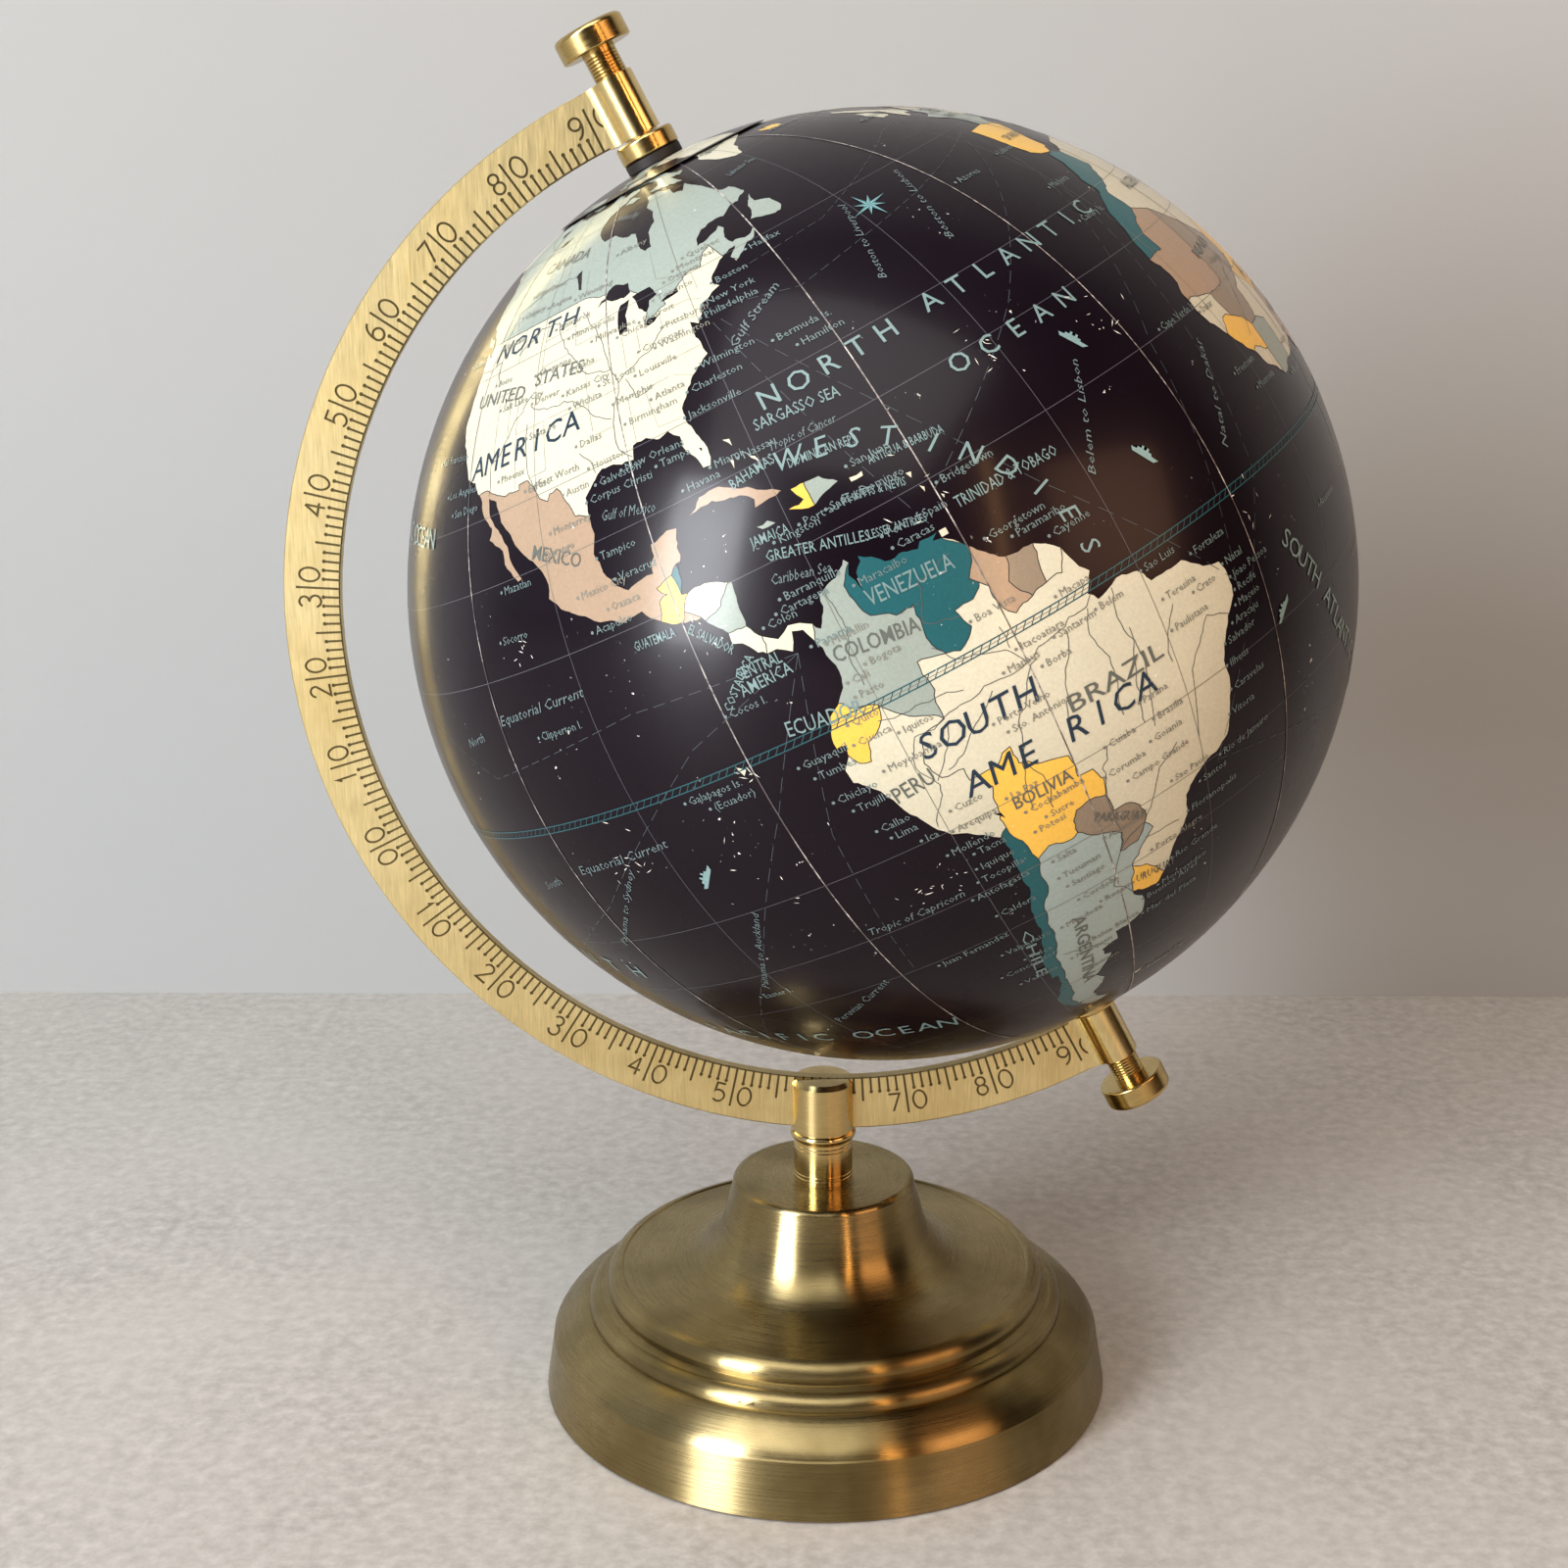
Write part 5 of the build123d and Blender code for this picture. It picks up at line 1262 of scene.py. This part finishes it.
def dress_parts():
    dress(["base_shell"], base_brass())
    dress(["lower_stem", "upper_stem", "arc_screw"], stem_brass())
    dress(["meridian_arc"], arc_brass())
    dress(["upper_spindle", "upper_knob", "lower_spindle", "lower_knob"], pivot_brass())
    dress(["north_ferrule", "south_ferrule"], pivot_brass())
    dress(["base_plate", "stem_washer", "stem_bolt", "north_nut", "south_nut"], steel())
    dress(["base_ballast"], ballast_iron())
    dress(["base_felt"], felt())
    dress(["north_shell", "south_shell", "equator_strip"], board())
    dress(["north_washer", "south_washer"], fibre_washer())
    dress(["north_calotte", "south_calotte"], printed_ink("cap ink", SEA_COLOUR))


# =====================================================================
# Room, light and camera
# =====================================================================
def floor_finish():
    mat, s, shader = material("pale laminate")
    where = local(s)
    cloud = s.noise(where, 14.0, 5, 0.6)
    speck = s.noise(where, 260.0, 4, 0.65)
    tone = s.blend(s.span(cloud, 0.35, 0.65), (0.40, 0.385, 0.36), (0.48, 0.46, 0.43))
    s.join(s.blend(s.span(speck, 0.35, 0.7), tone, (0.58, 0.56, 0.53)), shader.inputs["Base Color"])
    s.join(s.span(speck, 0.3, 0.7, 0.42, 0.58), shader.inputs["Roughness"])
    return mat


def wall_finish():
    """White board that can be seen from its front only, so that it hides nothing from behind."""
    mat, s, shader = material("white board", Roughness=0.8)
    shader.inputs["Base Color"].default_value = (0.36, 0.365, 0.36, 1)
    clear = s.add("BsdfTransparent")
    mix = s.add("MixShader")
    s.join(s.add("NewGeometry").outputs["Backfacing"], mix.inputs[0])
    s.join(shader.outputs[0], mix.inputs[1])
    s.join(clear.outputs[0], mix.inputs[2])
    s.join(mix.outputs[0], s.tree.nodes["Material Output"].inputs["Surface"])
    return mat


WALL_PLACE, WALL_TURN = (0, 0.253, 2), math.radians(-0.9)  # middle of the wall, and its turn about the upright
FLOOR_HALF, WALL_HALF = 4, 2


def room():
    upright = Matrix.Rotation(math.radians(90), 4, "X")
    set_back = Matrix.Translation(WALL_PLACE) @ Matrix.Rotation(WALL_TURN, 4, "Z") @ upright
    floor = stage_piece("floor", FLOOR_HALF, Matrix(), floor_finish())
    wall = stage_piece("wall", WALL_HALF, set_back, wall_finish())


def stage_piece(name, half, place, finish):
    """A square sheet of the stage, twice as wide as half."""
    bm = bmesh.new()
    bmesh.ops.create_grid(bm, x_segments=1, y_segments=1, size=half, matrix=place)
    mesh = bpy.data.meshes.new(name)
    bm.to_mesh(mesh)
    bm.free()
    mesh.materials.append(finish)
    piece = bpy.data.objects.new(name, mesh)
    bpy.context.scene.collection.objects.link(piece)
    return piece


def soft_light(name, place, aim, size, power, colour):
    lamp = bpy.data.lights.new(name, "AREA")
    lamp.shape, lamp.size, lamp.size_y = "RECTANGLE", *size
    lamp.energy, lamp.color = power, colour
    holder = bpy.data.objects.new(name, lamp)
    holder.location = place
    holder.rotation_euler = (Vector(aim) - Vector(place)).to_track_quat("-Z", "Y").to_euler()
    bpy.context.scene.collection.objects.link(holder)


BRIGHT_SIDE = (-0.80, 0.50, 0.30)  # way to the light end of the room


def lights():
    """Tall window on the left, ceiling, a narrow warm lamp, a warm patch on the right and the room all round."""
    soft_light("window", (-1.66, -1.82, 0.80), (0, 0, 0.17), (0.80, 1.55), 76, (0.93, 0.96, 1.0))
    soft_light("ceiling", (-0.2, -0.85, 1.40), (0, -0.40, 0), (1.4, 1.1), 12, (1.0, 0.98, 0.94))
    soft_light("lamp", (0.42, -0.82, 0.46), (0, 0, 0.16), (0.035, 0.75), 1.0, (1.0, 0.56, 0.24))
    soft_light("warm room", (1.12, -0.72, 0.66), (0.30, 0.15, 0.12), (0.75, 0.65), 4.2, (1.0, 0.58, 0.32))
    world = bpy.data.worlds.new("room")
    world.use_nodes = True
    s = Sheet(world.node_tree)
    way = s.add("VectorMath", operation="DOT_PRODUCT")
    s.join(s.add("TexCoord").outputs["Generated"], way.inputs[0])
    way.inputs[1].default_value = BRIGHT_SIDE
    tone = s.blend(s.span(way.outputs["Value"], -0.25, 0.75), (0.028, 0.022, 0.018), (0.42, 0.43, 0.47))
    s.join(tone, world.node_tree.nodes["Background"].inputs["Color"])
    bpy.context.scene.world = world


CAMERA_PLACE = (0.00507, -0.49976, 0.28242)
CAMERA_TURN = (-1.51, -15.38, -0.69)  # yaw, pitch and roll in degrees
CAMERA_LENS = 53.4  # millimetres on a 36 mm sensor


def camera():
    yaw, pitch, roll = (math.radians(v) for v in CAMERA_TURN)
    ahead = Vector((math.sin(yaw) * math.cos(pitch), math.cos(yaw) * math.cos(pitch), math.sin(pitch)))
    right = Vector((math.cos(yaw), -math.sin(yaw), 0))
    up = right.cross(ahead)
    right, up = right * math.cos(roll) + up * math.sin(roll), up * math.cos(roll) - right * math.sin(roll)
    lens = bpy.data.cameras.new("camera")
    lens.lens, lens.sensor_width = CAMERA_LENS, 36
    lens.clip_start = 0.01
    view = bpy.data.objects.new("camera", lens)
    turn = Matrix((right, up, -ahead)).transposed()
    view.matrix_world = Matrix.Translation(CAMERA_PLACE) @ turn.to_4x4()
    bpy.context.scene.collection.objects.link(view)
    bpy.context.scene.camera = view


printed_ball()
dress_parts()
room()
lights()
camera()
bpy.context.scene.view_settings.view_transform = "Standard"
bpy.context.scene.view_settings.look = "Medium High Contrast"
